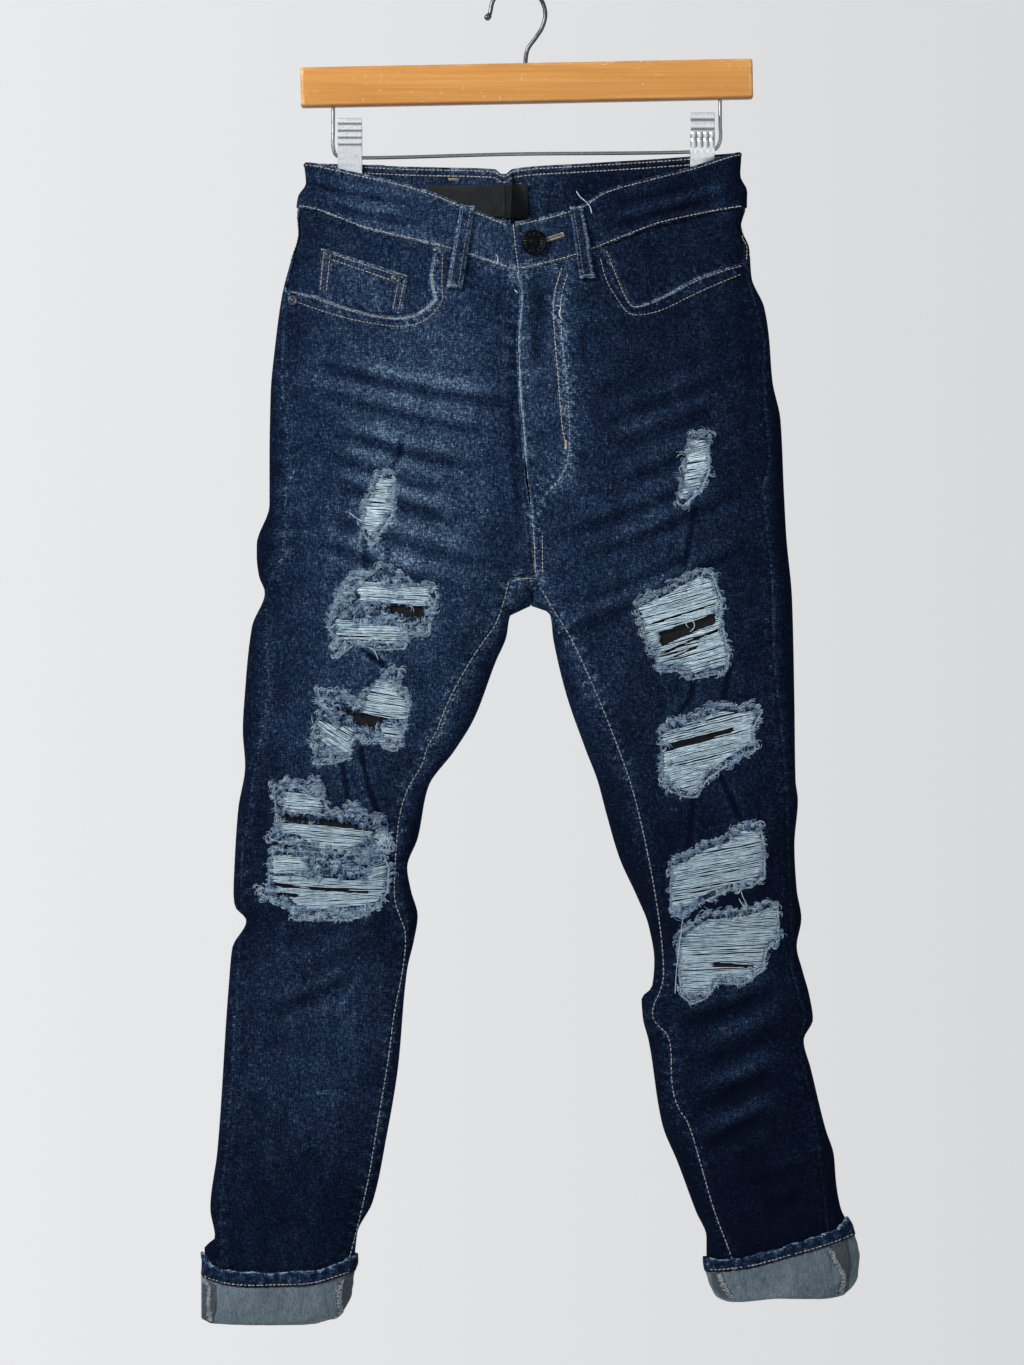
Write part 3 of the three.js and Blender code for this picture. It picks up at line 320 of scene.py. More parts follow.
# ---- Creases: soft troughs (depth above 0) and ridges (below 0) along short runs -----------------
# (points, half width, depth), points in [x, z].
FRONT_CREASES = [
    ([[-120, -812], [-160, -830], [-215, -868]], 15, -3),
    ([[-98, -668], [-104, -705], [-112, -745]], 15, 4),
    ([[-78, -662], [-60, -660]], 6, 3),
    ([[262, -936], [225, -960], [190, -988]], 15, -3),
    ([[-190, -345], [-110, -356], [-10, -372]], 16, -2),
    ([[40, -405], [120, -378], [200, -350]], 16, -2),
]
BACK_CREASES = [
    ([[-195, -452], [-110, -478], [-30, -505]], 16, 5),
    ([[35, -505], [120, -478], [200, -450]], 16, 5),
    ([[-180, -400], [-30, -425]], 17, -3),
    ([[40, -425], [190, -395]], 17, -3),
    ([[-190, -500], [-90, -540], [-40, -560]], 14, 3.5),
    ([[60, -560], [130, -535], [215, -505]], 14, 3.5),
    ([[-225, -765], [-170, -782], [-115, -795]], 12, 5),
    ([[-230, -835], [-170, -820], [-115, -812]], 14, 4),
    ([[-235, -800], [-170, -802], [-110, -806]], 11, -3),
    ([[228, -822], [170, -806], [120, -790]], 13, 5),
    ([[250, -905], [195, -888], [140, -875]], 11, 6),
    ([[255, -945], [200, -936], [150, -925]], 14, -4),
    ([[-235, -960], [-180, -975], [-130, -985]], 17, 3),
    ([[262, -1000], [200, -1010], [165, -1030]], 14, 3),
    ([[-160, -600], [-120, -660]], 16, 2.5),
    ([[150, -600], [120, -680]], 16, 2.5),
]


# ---- Runs of points, and the formulas that the forms below share ---------------------------------
def bell(gap, width):
    """1 where gap is 0, falling away smoothly within about `width` to either side."""
    return np.exp(-((gap / width) ** 2))


def unit(vectors):
    """Vectors, along the last axis, at a length of one."""
    return vectors / np.maximum(np.linalg.norm(vectors, axis=-1, keepdims=True), 1e-9)


def looped(ring):
    """An outline with its first point once more at its end."""
    ring = np.asarray(ring, float)
    return np.concatenate([ring, ring[:1]])


def travelled(run):
    """How far along a run each of its points is."""
    return np.concatenate([[0], np.cumsum(np.linalg.norm(np.diff(run, axis=0), axis=1))])


def boxed(points, run, reach):
    """Whether each point is in the box round a run, `reach` wider on every side."""
    return np.all((points > np.min(run, axis=0) - reach) & (points < np.max(run, axis=0) + reach), axis=1)


def smooth(points, along=1):
    """A run through points, smooth and without overshoot, as a function of coordinate `along`."""
    p = np.array(sorted(points, key=lambda q: q[along]), float)
    t, v = p[:, along], p[:, 1 - along]
    step = np.diff(t)
    slope = np.diff(v) / step
    tangent = np.empty_like(v)
    tangent[0], tangent[-1] = slope[0], slope[-1]
    before, after = slope[:-1], slope[1:]
    turns = before * after <= 0
    safe_before = np.where(turns, 1.0, before)
    safe_after = np.where(turns, 1.0, after)
    w0, w1 = 2 * step[1:] + step[:-1], step[1:] + 2 * step[:-1]
    tangent[1:-1] = np.where(turns, 0.0, (w0 + w1) / (w0 / safe_before + w1 / safe_after))

    def at(q):
        q = np.clip(np.asarray(q, float), t[0], t[-1])
        i = np.clip(np.searchsorted(t, q) - 1, 0, len(step) - 1)
        h = step[i]
        u = (q - t[i]) / h
        return (
            (1 + 2 * u) * (1 - u) ** 2 * v[i]
            + u * (1 - u) ** 2 * h * tangent[i]
            + u * u * (3 - 2 * u) * v[i + 1]
            + u * u * (u - 1) * h * tangent[i + 1]
        )

    return at


def spaced(points, step):
    """The run again as a polyline with points about `step` apart."""
    p = np.asarray(points, float)
    along = travelled(p)
    at = np.linspace(0, along[-1], max(2, int(math.ceil(along[-1] / step)) + 1))
    return np.stack([np.interp(at, along, p[:, k]) for k in range(p.shape[1])], axis=1)


def rounded_run(points, closed=False, share=0.25, times=2):
    """A run with its corners cut `times` over, so that straight pieces become a soft curve."""
    p = np.asarray(points, float)
    for _ in range(times):
        a = p
        b = np.roll(p, -1, axis=0) if closed else p[1:]
        a = a if closed else p[:-1]
        pairs = np.stack([a + (b - a) * share, b - (b - a) * share], axis=1).reshape(-1, p.shape[1])
        p = pairs if closed else np.concatenate([p[:1], pairs, p[-1:]])
    return p


def near_run(points, run):
    """Distance of each point from a polyline, and how far along it the nearest place is."""
    best = np.full(len(points), 1e9)
    along = np.zeros(len(points))
    start = 0.0
    run = np.asarray(run, float)
    for a, b in zip(run[:-1], run[1:]):
        d = b - a
        length = float(np.hypot(*d))
        if length < 1e-9:
            continue
        rel = points - a
        t = np.clip((rel @ d) / (length * length), 0, 1)
        gap = np.linalg.norm(rel - t[:, None] * d, axis=1)
        closer = gap < best
        best = np.where(closer, gap, best)
        along = np.where(closer, start + t * length, along)
        start += length
    return best, along


def gap_to(points, run):
    """Distance of each point from a polyline."""
    return near_run(points, run)[0]


def inside(points, ring):
    """Whether each point is inside a closed outline."""
    ring = np.asarray(ring, float)
    x, y = points[:, 0], points[:, 1]
    hit = np.zeros(len(points), bool)
    for (x0, y0), (x1, y1) in zip(ring, np.roll(ring, -1, axis=0)):
        if y0 == y1:
            continue
        crosses = (y0 > y) != (y1 > y)
        hit ^= crosses & (x < (x1 - x0) * (y - y0) / (y1 - y0) + x0)
    return hit


def smoothstep(v, lo, hi):
    """0 below lo, 1 above hi, and a soft rise between them."""
    t = np.clip((np.asarray(v, float) - lo) / (hi - lo), 0, 1)
    return t * t * (3 - 2 * t)


# ---- The form of the worn cloth ------------------------------------------------------------------
OUTER = [smooth(OUTER_RIGHT), smooth(OUTER_LEFT)]
INNER = [smooth(INNER_RIGHT), smooth(INNER_LEFT)]
MIDDLE = smooth(CENTRE)
FLY_X = smooth(FLY)
DEPTH_FRONT, DEPTH_BACK = smooth(FRONT_DEPTH), smooth(BACK_DEPTH)


def edges_at(leg, z):
    """x of a leg's outer edge and of its inner edge, or of the centre above the crotch."""
    outer = np.where(leg == LEFT, OUTER[LEFT](z), OUTER[RIGHT](z))
    below = np.where(leg == LEFT, INNER[LEFT](z), INNER[RIGHT](z))
    return outer, np.where(z < CROTCH_Z, below, MIDDLE(z))


def theta_at(leg, x, z, front):
    """Where on the section loop a point of the front or back face is."""
    outer, inner = edges_at(leg, z)
    s = np.clip((x - outer) / (inner - outer), 0, 1)
    u = np.arccos(1 - 2 * s) / math.pi
    return np.where(front, u, 2 - u)


def leg_at(x, z):
    """Which leg a point seen from the front belongs to."""
    between = (INNER[RIGHT](z) + INNER[LEFT](z)) / 2
    return np.where(x > np.where(z < CROTCH_Z, between, MIDDLE(z)), LEFT, RIGHT)


WAVES = 7  # sine waves in each of the sums below


def wavy(x, z, size, seed):
    """Smooth irregular waves of about one unit, with bumps about `size` apart."""
    rng = np.random.default_rng(seed)
    total = np.zeros_like(x)
    for _ in range(WAVES):
        angle, phase = rng.uniform(0, 2 * math.pi, 2)
        pitch = size * rng.uniform(0.75, 1.5)
        total += np.sin((x * math.cos(angle) + z * math.sin(angle)) * 2 * math.pi / pitch + phase)
    return total / math.sqrt(WAVES)


def crease_sum(x, z, creases):
    """The sum of creases, each weaker towards its ends and with a faint swell beside it."""
    total = np.zeros_like(x)
    points = np.stack([x, z], axis=1)
    for run, wide, depth in creases:
        near = boxed(points, run, 3 * wide)
        if not near.any():
            continue
        curve = rounded_run(run) if len(run) > 2 else np.asarray(run, float)
        gap, along = near_run(points[near], curve)
        length = float(np.linalg.norm(np.diff(curve, axis=0), axis=1).sum())
        ends = np.clip(np.minimum(along, length - along) / (0.3 * length), 0, 1)
        strength = 0.35 + 0.65 * ends * (2 - ends)
        shape = bell(gap, wide) - 0.3 * bell(gap - 2 * wide, 0.8 * wide)
        total[near] += depth * strength * shape
    return total


SEAM_REACH, IMPRESSION_REACH = 26, 8  # how far from a seam or a small crease the cloth is shaped by it
# Seams whose stitching pulls the cloth in: (run, face, pucker height, distance between puckers).
SEAMS = [
    (FLY[2:], FRONT, 0.3, 13),
    (INSEAM_RIGHT, FRONT, 0.65, 11),
    (INSEAM_LEFT, FRONT, 0.6, 11),
    (OUTSEAM_RIGHT, FRONT, 0.3, 14),
    (OUTSEAM_LEFT, FRONT, 0.3, 14),
    (BAND_FOOT_RIGHT, FRONT, 0.35, 15),
    (BAND_FOOT_LEFT, FRONT, 0.35, 15),
    (POCKET_RIGHT, FRONT, 0.25, 12),
    (POCKET_LEFT, FRONT, 0.25, 12),
    (J_OUTER, FRONT, 0.25, 12),
    (YOKE_FOOT, BACK, 0.4, 13),
    (BACK_BAND_FOOT, BACK, 0.4, 14),
    (CENTRE[1:], BACK, 0.4, 12),
]


def seam_sum(x, z, front):
    """Depth of the valley at each seam, with the puckers that its stitches pull beside it."""
    total = np.zeros_like(x)
    points = np.stack([x, z], axis=1)
    for number, (run, face, height, pitch) in enumerate(SEAMS):
        if face != front:
            continue
        near = boxed(points, run, SEAM_REACH)
        if not near.any():
            continue
        gap, along = near_run(points[near], run)
        valley = 0.8 * bell(gap, 1.6) - 0.35 * bell(gap - 4.5, 3)
        wobble = 1.2 * np.sin(along / 37 + number) + 0.8 * np.sin(along / 17 + 2 * number)
        pucker = np.sin(2 * math.pi * along / pitch + 2 * wobble + gap * 0.12)
        strong = 0.65 + 0.35 * np.sin(along / 53 + 3 * number)
        total[near] += valley + height * pucker * strong * bell(gap - 3, 7.5)
    return total


# Loose waves in the hung cloth: (height, distance between bumps, squeeze in z).
BROAD, SHORT, SHINS, FINE = (0.75, 95, 1.0), (0.35, 38, 1.4), (0.35, 30, 1.3), (0.13, 13, 1.0)
IMPRESSION_DEPTH, IMPRESSION_HALF = 0.9, 1.6


def waves(x, z, kind, seed, share=1.0):
    """One kind of loose waves, as heights in millimetres."""
    height, size, squeeze = kind
    return height * share * wavy(x, z * squeeze, size, seed)


def relief(x, z, front):
    """How far the cloth lies inside its plain form: creases, seam valleys and loose waviness."""
    folds = [(run, wide, depth) for run, wide, _, depth in FRONT_FOLDS]
    total = crease_sum(x, z, FRONT_CREASES + folds if front else BACK_CREASES) + seam_sum(x, z, front)
    seed = 11 if front else 12
    total += waves(x, z, BROAD, seed) + waves(x, z, SHORT, seed + 2)
    total += waves(x, z, SHINS, seed + 4, smoothstep(-z, 780, 900))
    total += waves(x, z, FINE, seed + 6)
    if front:
        points = np.stack([x, z], axis=1)
        for run in IMPRESSIONS:
            near = boxed(points, run, IMPRESSION_REACH)
            if near.any():
                total[near] += IMPRESSION_DEPTH * bell(gap_to(points[near], run), IMPRESSION_HALF)
    return total


CLIP_PULL = 34  # how far to each side a clip draws the waist together
PINCH_FRONT, PINCH_BACK = 0.24, 0.45  # what the clips leave of the depth


def pinch(x, z, keep):
    """The waist closes on the hanger's clips and opens between them."""
    near = np.maximum(*(bell(x - at, CLIP_PULL) for at in CLIP_X))
    return 1 - (1 - keep) * near * smoothstep(z, -250, -165)


def skin(leg, theta, z, out=0.0):
    """Points of the surface `out` outside the panels' face, in millimetres."""
    leg, theta, z, out = np.broadcast_arrays(leg, np.asarray(theta, float), np.asarray(z, float), out)
    turn = np.mod(theta, 2)
    front = turn <= 1
    u = np.where(front, turn, 2 - turn)
    s = (1 - np.cos(math.pi * u)) / 2
    outer, inner = edges_at(leg, z)
    other, _ = edges_at(1 - leg, z)
    way = np.where(leg == LEFT, 1.0, -1.0)
    plain = outer + (inner - outer) * s
    free = np.clip((CROTCH_Z - z) / 6, 0, 1)
    # An offset also moves the outer and inner edges sideways, so that the wall keeps its thickness there.
    x = outer + way * out + (inner - way * out * free - outer - way * out) * s
    leg_share = np.sqrt(np.clip(1 - np.abs(2 * s - 1) ** LEG_FULLNESS, 0, 1))
    middle = (outer + other) / 2
    reach = np.abs(plain - middle) / np.abs(other - middle)
    hip_share = np.sqrt(np.clip(1 - reach**HIP_FULLNESS, 0, 1))
    blend = np.clip((z - CROTCH_Z) / SADDLE_RISE, 0, 1)
    blend = blend * blend * (3 - 2 * blend) * 0.5 + blend * 0.5
    share = np.sqrt((1 - blend) * leg_share**2 + blend * hip_share**2)
    depth = np.where(
        front,
        DEPTH_FRONT(z) * pinch(plain, z, PINCH_FRONT),
        DEPTH_BACK(z) * pinch(plain, z, PINCH_BACK),
    )
    flat_x, flat_z, flat_front = (np.ascontiguousarray(a).reshape(-1) for a in (plain, z, front))
    low = np.zeros_like(flat_x)
    for side in (FRONT, BACK):
        mask = flat_front == side
        if mask.any():
            low[mask] = relief(flat_x[mask], flat_z[mask], side)
    trough = low.reshape(x.shape) * np.minimum(1, 1.4 * share)
    y = (depth + out) * share - trough
    return np.stack([x, np.where(front, -y, y), z], axis=-1)


def face(x, z, out=0.0, front=FRONT):
    """Points of the front or back face at x and z."""
    x, z = np.asarray(x, float), np.asarray(z, float)
    leg = leg_at(x, z)
    return skin(leg, theta_at(leg, x, z, front), z, out)


# ---- Meshes --------------------------------------------------------------------------------------
def make_mesh(name, points, faces, material, layers=None):
    """An object from arrays, its points in millimetres. A name that a CAD node has gets an ending."""
    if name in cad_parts:
        name += "_finished"
    mesh = bpy.data.meshes.new(name)
    mesh.from_pydata((np.asarray(points, float) * MM).tolist(), [], [list(f) for f in faces])
    for key, values in (layers or {}).items():
        layer = mesh.attributes.new(key, "FLOAT", "POINT")
        layer.data.foreach_set("value", np.asarray(values, np.float32))
    mesh.polygons.foreach_set("use_smooth", [True] * len(mesh.polygons))
    mesh.materials.append(material)
    mesh.validate()
    made = bpy.data.objects.new(name, mesh)
    bpy.context.scene.collection.objects.link(made)
    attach(made, "root")
    return made


def rim_of(triangles):
    """The directed edges that only one triangle uses."""
    t = np.asarray(triangles)
    edges = np.concatenate([t[:, [0, 1]], t[:, [1, 2]], t[:, [2, 0]]])
    keys = np.sort(edges, axis=1)
    _, index, uses = np.unique(keys, axis=0, return_index=True, return_counts=True)
    return edges[index[uses == 1]]


def shell(outer, inner, triangles):
    """A closed wall from two layers of points over the same triangles."""
    t = np.asarray(triangles)
    n = len(outer)
    rim = rim_of(t)
    sides = np.concatenate(
        [
            np.stack([rim[:, 0], rim[:, 0] + n, rim[:, 1]], axis=1),
            np.stack([rim[:, 1], rim[:, 0] + n, rim[:, 1] + n], axis=1),
        ]
    )
    return np.concatenate([outer, inner]), np.concatenate([t, t[:, ::-1] + n, sides])


def triangulated(ring, holes, step, fine_runs=(), fine_step=None):
    """Points and triangles that fill an outline, with its holes left open."""
    rings = [spaced(looped(r), step * 0.9)[:-1] for r in [ring, *holes]]
    points, edges, start = [], [], 0
    for r in rings:
        points.append(r)
        count = len(r)
        edges += [(start + i, start + (i + 1) % count) for i in range(count)]
        start += count
    lo, hi = rings[0].min(0), rings[0].max(0)

    def lattice(pitch):
        grid = []
        for i, v in enumerate(np.arange(lo[1], hi[1], pitch * math.sqrt(3) / 2)):
            u = np.arange(lo[0] + (i % 2) * pitch / 2, hi[0], pitch)
            grid.append(np.stack([u, np.full(len(u), v)], axis=1))
        return np.concatenate(grid)

    coarse = lattice(step)
    if fine_runs:
        close = np.zeros(len(coarse), bool)
        fine = lattice(fine_step)
        keep = np.zeros(len(fine), bool)
        for run in fine_runs:
            close |= gap_to(coarse, run) < 7 + 0.5 * step
            keep |= gap_to(fine, run) < 7
        coarse = np.concatenate([coarse[~close], fine[keep]])
    inner = coarse[inside(coarse, rings[0])]
    for r in rings[1:]:
        inner = inner[~inside(inner, r)]
    for r in rings:
        inner = inner[gap_to(inner, looped(r)) > 0.55 * (fine_step or step)]
    points.append(inner)
    everything = np.concatenate(points)
    made = delaunay_2d_cdt([Vector(p) for p in everything], edges, [], 0, 1e-4, False)
    at = np.array([tuple(v) for v in made[0]])
    tri = np.array([f for f in made[2]])
    centre = at[tri].mean(axis=1)
    keep = inside(centre, rings[0])
    for r in rings[1:]:
        keep &= ~inside(centre, r)
    tri = tri[keep]
    used, tri = np.unique(tri, return_inverse=True)
    tri = tri.reshape(-1, 3)
    at = at[used]
    a, b, c = at[tri[:, 0]], at[tri[:, 1]], at[tri[:, 2]]
    area = (b[:, 0] - a[:, 0]) * (c[:, 1] - a[:, 1]) - (b[:, 1] - a[:, 1]) * (c[:, 0] - a[:, 0])
    tri[area < 0] = tri[area < 0][:, ::-1]
    return at, tri


def wound_out(points, tri, middle):
    """Triangles turned so that they face away from `middle`."""
    a, b, c = points[tri[:, 0]], points[tri[:, 1]], points[tri[:, 2]]
    normal = np.cross(b - a, c - a)
    away = (a + b + c) / 3 - middle((a + b + c) / 3)
    return tri if float((normal * away).sum()) > 0 else tri[:, ::-1]


def axis_of(points):
    """The middle line of the garment at each point, which walls face away from."""
    leg = leg_at(points[:, 0], points[:, 2])
    outer, inner = edges_at(leg, points[:, 2])
    return np.stack([(outer + inner) / 2, np.zeros(len(points)), points[:, 2]], axis=1)


def panel(
        name, leg, ring, material, holes=(), step=3.1, fine_runs=(), fine_step=2.2, lift=None, paint=None):
    """A closed cloth wall over an outline in the flat domain (theta * ARC, z)."""
    at, tri = triangulated(ring, holes, step, fine_runs, fine_step)
    theta, z = at[:, 0] / ARC, at[:, 1]
    raised = np.zeros(len(z)) if lift is None else lift(leg, theta, z)
    outer = skin(leg, theta, z, raised)
    inner = skin(leg, theta, z, -WALL)
    edge = np.unique(rim_of(tri))
    outer[edge] += EDGE_TUCK * unit(axis_of(outer[edge]) - outer[edge])
    tri = wound_out(outer, tri, axis_of)
    points, faces = shell(outer, inner, tri)
    layers = paint(points) if paint else {}
    return make_mesh(name, points, faces, material, layers=layers)


def flat_run(leg, run, front=FRONT, turn=0.0, step=3.0):
    """A run in x and z as a run in a panel's flat domain."""
    p = spaced(run, step)
    return np.stack([(theta_at(leg, p[:, 0], p[:, 1], front) + turn) * ARC, p[:, 1]], axis=1)


def loop_x(leg, theta, z):
    """x of a place on the section loop, by front or back."""
    turn = np.mod(theta, 2)
    u = np.where(turn <= 1, turn, 2 - turn)
    outer, inner = edges_at(leg, z)
    return outer + (inner - outer) * (1 - np.cos(math.pi * u)) / 2


def grid_faces(rows, columns, closed=False):
    """Quads of a grid of points stored row by row."""
    r, c = np.meshgrid(np.arange(rows - 1), np.arange(columns if closed else columns - 1), indexing="ij")
    a = r * columns + c
    b = r * columns + (c + 1) % columns
    return np.stack([a, b, b + columns, a + columns], axis=-1).reshape(-1, 4)


def patch(name, ring, front, out, wall, material, step=3.0, paint=None, bulge=None):
    """A closed cloth wall over an outline in x and z on the front or back face."""
    at, tri = triangulated(np.asarray(ring, float), (), step)
    raise_by = np.zeros(len(at)) if bulge is None else bulge(at)
    outer = face(at[:, 0], at[:, 1], out + raise_by, front)
    inner = face(at[:, 0], at[:, 1], out - wall, front)
    edge = np.unique(rim_of(tri))
    outer[edge, 1] += PATCH_TUCK if front else -PATCH_TUCK
    tri = wound_out(outer, tri, axis_of)
    points, faces = shell(outer, inner, tri)
    return make_mesh(name, points, faces, material, layers=paint(points) if paint else {})


def sections(path):
    """Tangent, side and up vectors along a path, turned as little as possible."""
    path = np.asarray(path, float)
    tangent = unit(np.gradient(path, axis=0))
    side = np.zeros_like(path)
    seed = np.array([0.0, 1.0, 0.0]) if abs(tangent[0, 1]) < 0.9 else np.array([1.0, 0.0, 0.0])
    last = np.cross(tangent[0], seed)
    for i, t in enumerate(tangent):
        last = last - t * (last @ t)
        last /= max(np.linalg.norm(last), 1e-9)
        side[i] = last
    return tangent, side, np.cross(tangent, side)


def tube_arrays(path, radius, sides=12):
    """Points and faces of a round tube, closed at its ends."""
    path = np.asarray(path, float)
    _, side, up = sections(path)
    radius = np.broadcast_to(radius, (len(path),)).astype(float)
    angle = np.arange(sides) * 2 * math.pi / sides
    ring = np.cos(angle)[None, :, None] * side[:, None] + np.sin(angle)[None, :, None] * up[:, None]
    points = (path[:, None] + ring * radius[:, None, None]).reshape(-1, 3)
    quads = grid_faces(len(path), sides, closed=True)[:, ::-1]
    faces = quads.tolist()
    ends = np.stack([path[0], path[-1]])
    first, last = len(points), len(points) + 1
    for k in range(sides):
        faces.append((first, k, (k + 1) % sides))
        base = (len(path) - 1) * sides
        faces.append((last, base + (k + 1) % sides, base + k))
    return np.concatenate([points, ends]), faces


def strands(name, bundles, material, sides=4):
    """Many thin threads as one mesh. A bundle is an array of threads by points by 3, and a radius."""
    all_points, all_faces, start = [], [], 0
    for threads, radius in bundles:
        if not len(threads):
            continue
        threads = np.asarray(threads, float)
        count, steps = threads.shape[:2]
        tangent = unit(np.gradient(threads, axis=1))
        side = unit(np.cross(tangent, np.broadcast_to(np.array([0.15, 1.0, 0.1]), tangent.shape)))
        up = np.cross(tangent, side)
        taper = np.ones(steps)
        taper[0] = taper[-1] = 0.55
        wide = np.broadcast_to(np.asarray(radius, float).reshape(-1, 1), (count, steps)) * taper
        angle = np.arange(sides) * 2 * math.pi / sides
        ring = (
            np.cos(angle)[:, None] * side[:, :, None, :] + np.sin(angle)[:, None] * up[:, :, None, :]
        ) * wide[:, :, None, None]
        points = (threads[:, :, None, :] + ring).reshape(-1, 3)
        quads = grid_faces(steps, sides, closed=True)[:, ::-1]
        caps = np.array([np.arange(sides), steps * sides - 1 - np.arange(sides)])
        offsets = (np.arange(count) * steps * sides)[:, None, None] + start
        for part in (quads, caps):
            all_faces += (part[None] + offsets).reshape(-1, part.shape[1]).tolist()
        all_points.append(points)
        start += count * steps * sides
    return make_mesh(name, np.concatenate(all_points), all_faces, material)


# ---- Stitches ------------------------------------------------------------------------------------
STITCH_SINK = 0.12  # how far a stitch's foot is set into the cloth
STITCH_FORM = np.array([  # one stitch, as (along, across, up) shares of its length, width and height
    [-0.5, -0.3, 0.0], [-0.5, 0.0, 0.35], [-0.5, 0.3, 0.0],
    [-0.3, -0.5, 0.0], [-0.3, -0.25, 0.85], [-0.3, 0.25, 0.85], [-0.3, 0.5, 0.0],
    [0.3, -0.5, 0.0], [0.3, -0.25, 0.85], [0.3, 0.25, 0.85], [0.3, 0.5, 0.0],
    [0.5, -0.3, 0.0], [0.5, 0.0, 0.35], [0.5, 0.3, 0.0],
])
STITCH_FACES = [
    (0, 3, 4), (0, 4, 1), (1, 4, 5), (1, 5, 2), (2, 5, 6), (0, 1, 2),
    (3, 7, 8), (3, 8, 4), (4, 8, 9), (4, 9, 5), (5, 9, 10), (5, 10, 6),
    (7, 11, 12), (7, 12, 8), (8, 12, 9), (9, 12, 13), (9, 13, 10), (11, 13, 12),
    (0, 2, 6), (0, 6, 3), (3, 6, 10), (3, 10, 7), (7, 10, 13), (7, 13, 11),
]


def stitch_points(
        run, out, front=FRONT, pitch=3.3, length=2.6, width=0.85, high=0.5, seed=1, inside_out=False):
    """The points of a row of stitches along a run in x and z."""
    rng = np.random.default_rng(seed)
    dense = rounded_run(run, times=2) if len(run) > 2 else np.asarray(run, float)
    dense = spaced(dense, 0.5)
    along = travelled(dense)
    centres = np.arange(pitch * 0.5, along[-1] - pitch * 0.3, pitch)
    centres = centres + rng.uniform(-0.12, 0.12, len(centres)) * pitch
    at = lambda d: np.stack([np.interp(d, along, dense[:, k]) for k in (0, 1)], axis=1)
    a, b, mid = at(centres - pitch / 2), at(centres + pitch / 2), at(centres)
    lift = (lambda p: out(p[:, 0], p[:, 1])) if callable(out) else (lambda p: out)
    pa, pb, pm = (face(p[:, 0], p[:, 1], lift(p), front) for p in (a, b, mid))
    way = unit(pb - pa)
    up = np.zeros_like(way)
    up[:, 1] = -1.0 if front != inside_out else 1.0
    up -= way * (up * way).sum(1, keepdims=True)
    up = unit(up)
    across = np.cross(up, way)
    turn = rng.normal(0, 0.07, len(pm))
    way, across = (
        way * np.cos(turn)[:, None] + across * np.sin(turn)[:, None],
        across * np.cos(turn)[:, None] - way * np.sin(turn)[:, None],
    )
    size = rng.uniform(0.88, 1.1, len(pm))[:, None, None]
    along_it, across_it, above_it = np.split(STITCH_FORM, 3, axis=1)
    return (
        pm[:, None]
        + way[:, None] * (along_it * length)[None] * size
        + across[:, None] * (across_it * width)[None]
        + up[:, None] * (above_it * high - STITCH_SINK)[None]
    )


def stitches(name, rows, material):
    """Rows of stitches as one mesh. A row is a dict of stitch_points arguments."""
    blocks = [stitch_points(**row) for row in rows]
    points = np.concatenate([b.reshape(-1, 3) for b in blocks])
    count = len(points) // len(STITCH_FORM)
    faces = np.array(STITCH_FACES)[None] + (np.arange(count) * len(STITCH_FORM))[:, None, None]
    faces = faces.reshape(-1, 3)
    a, b, c = (points[faces[:24, k]] for k in range(3))
    centre = points[: len(STITCH_FORM)].mean(0)
    if float((np.cross(b - a, c - a) * ((a + b + c) / 3 - centre)).sum()) < 0:
        faces = faces[:, ::-1]
    return make_mesh(name, points, faces, material)


def shifted(run, by):
    """A run moved sideways by a distance, to its left as it is followed."""
    p = np.asarray(run, float)
    way = unit(np.gradient(p, axis=0))
    return p + np.stack([-way[:, 1], way[:, 0]], axis=1) * by


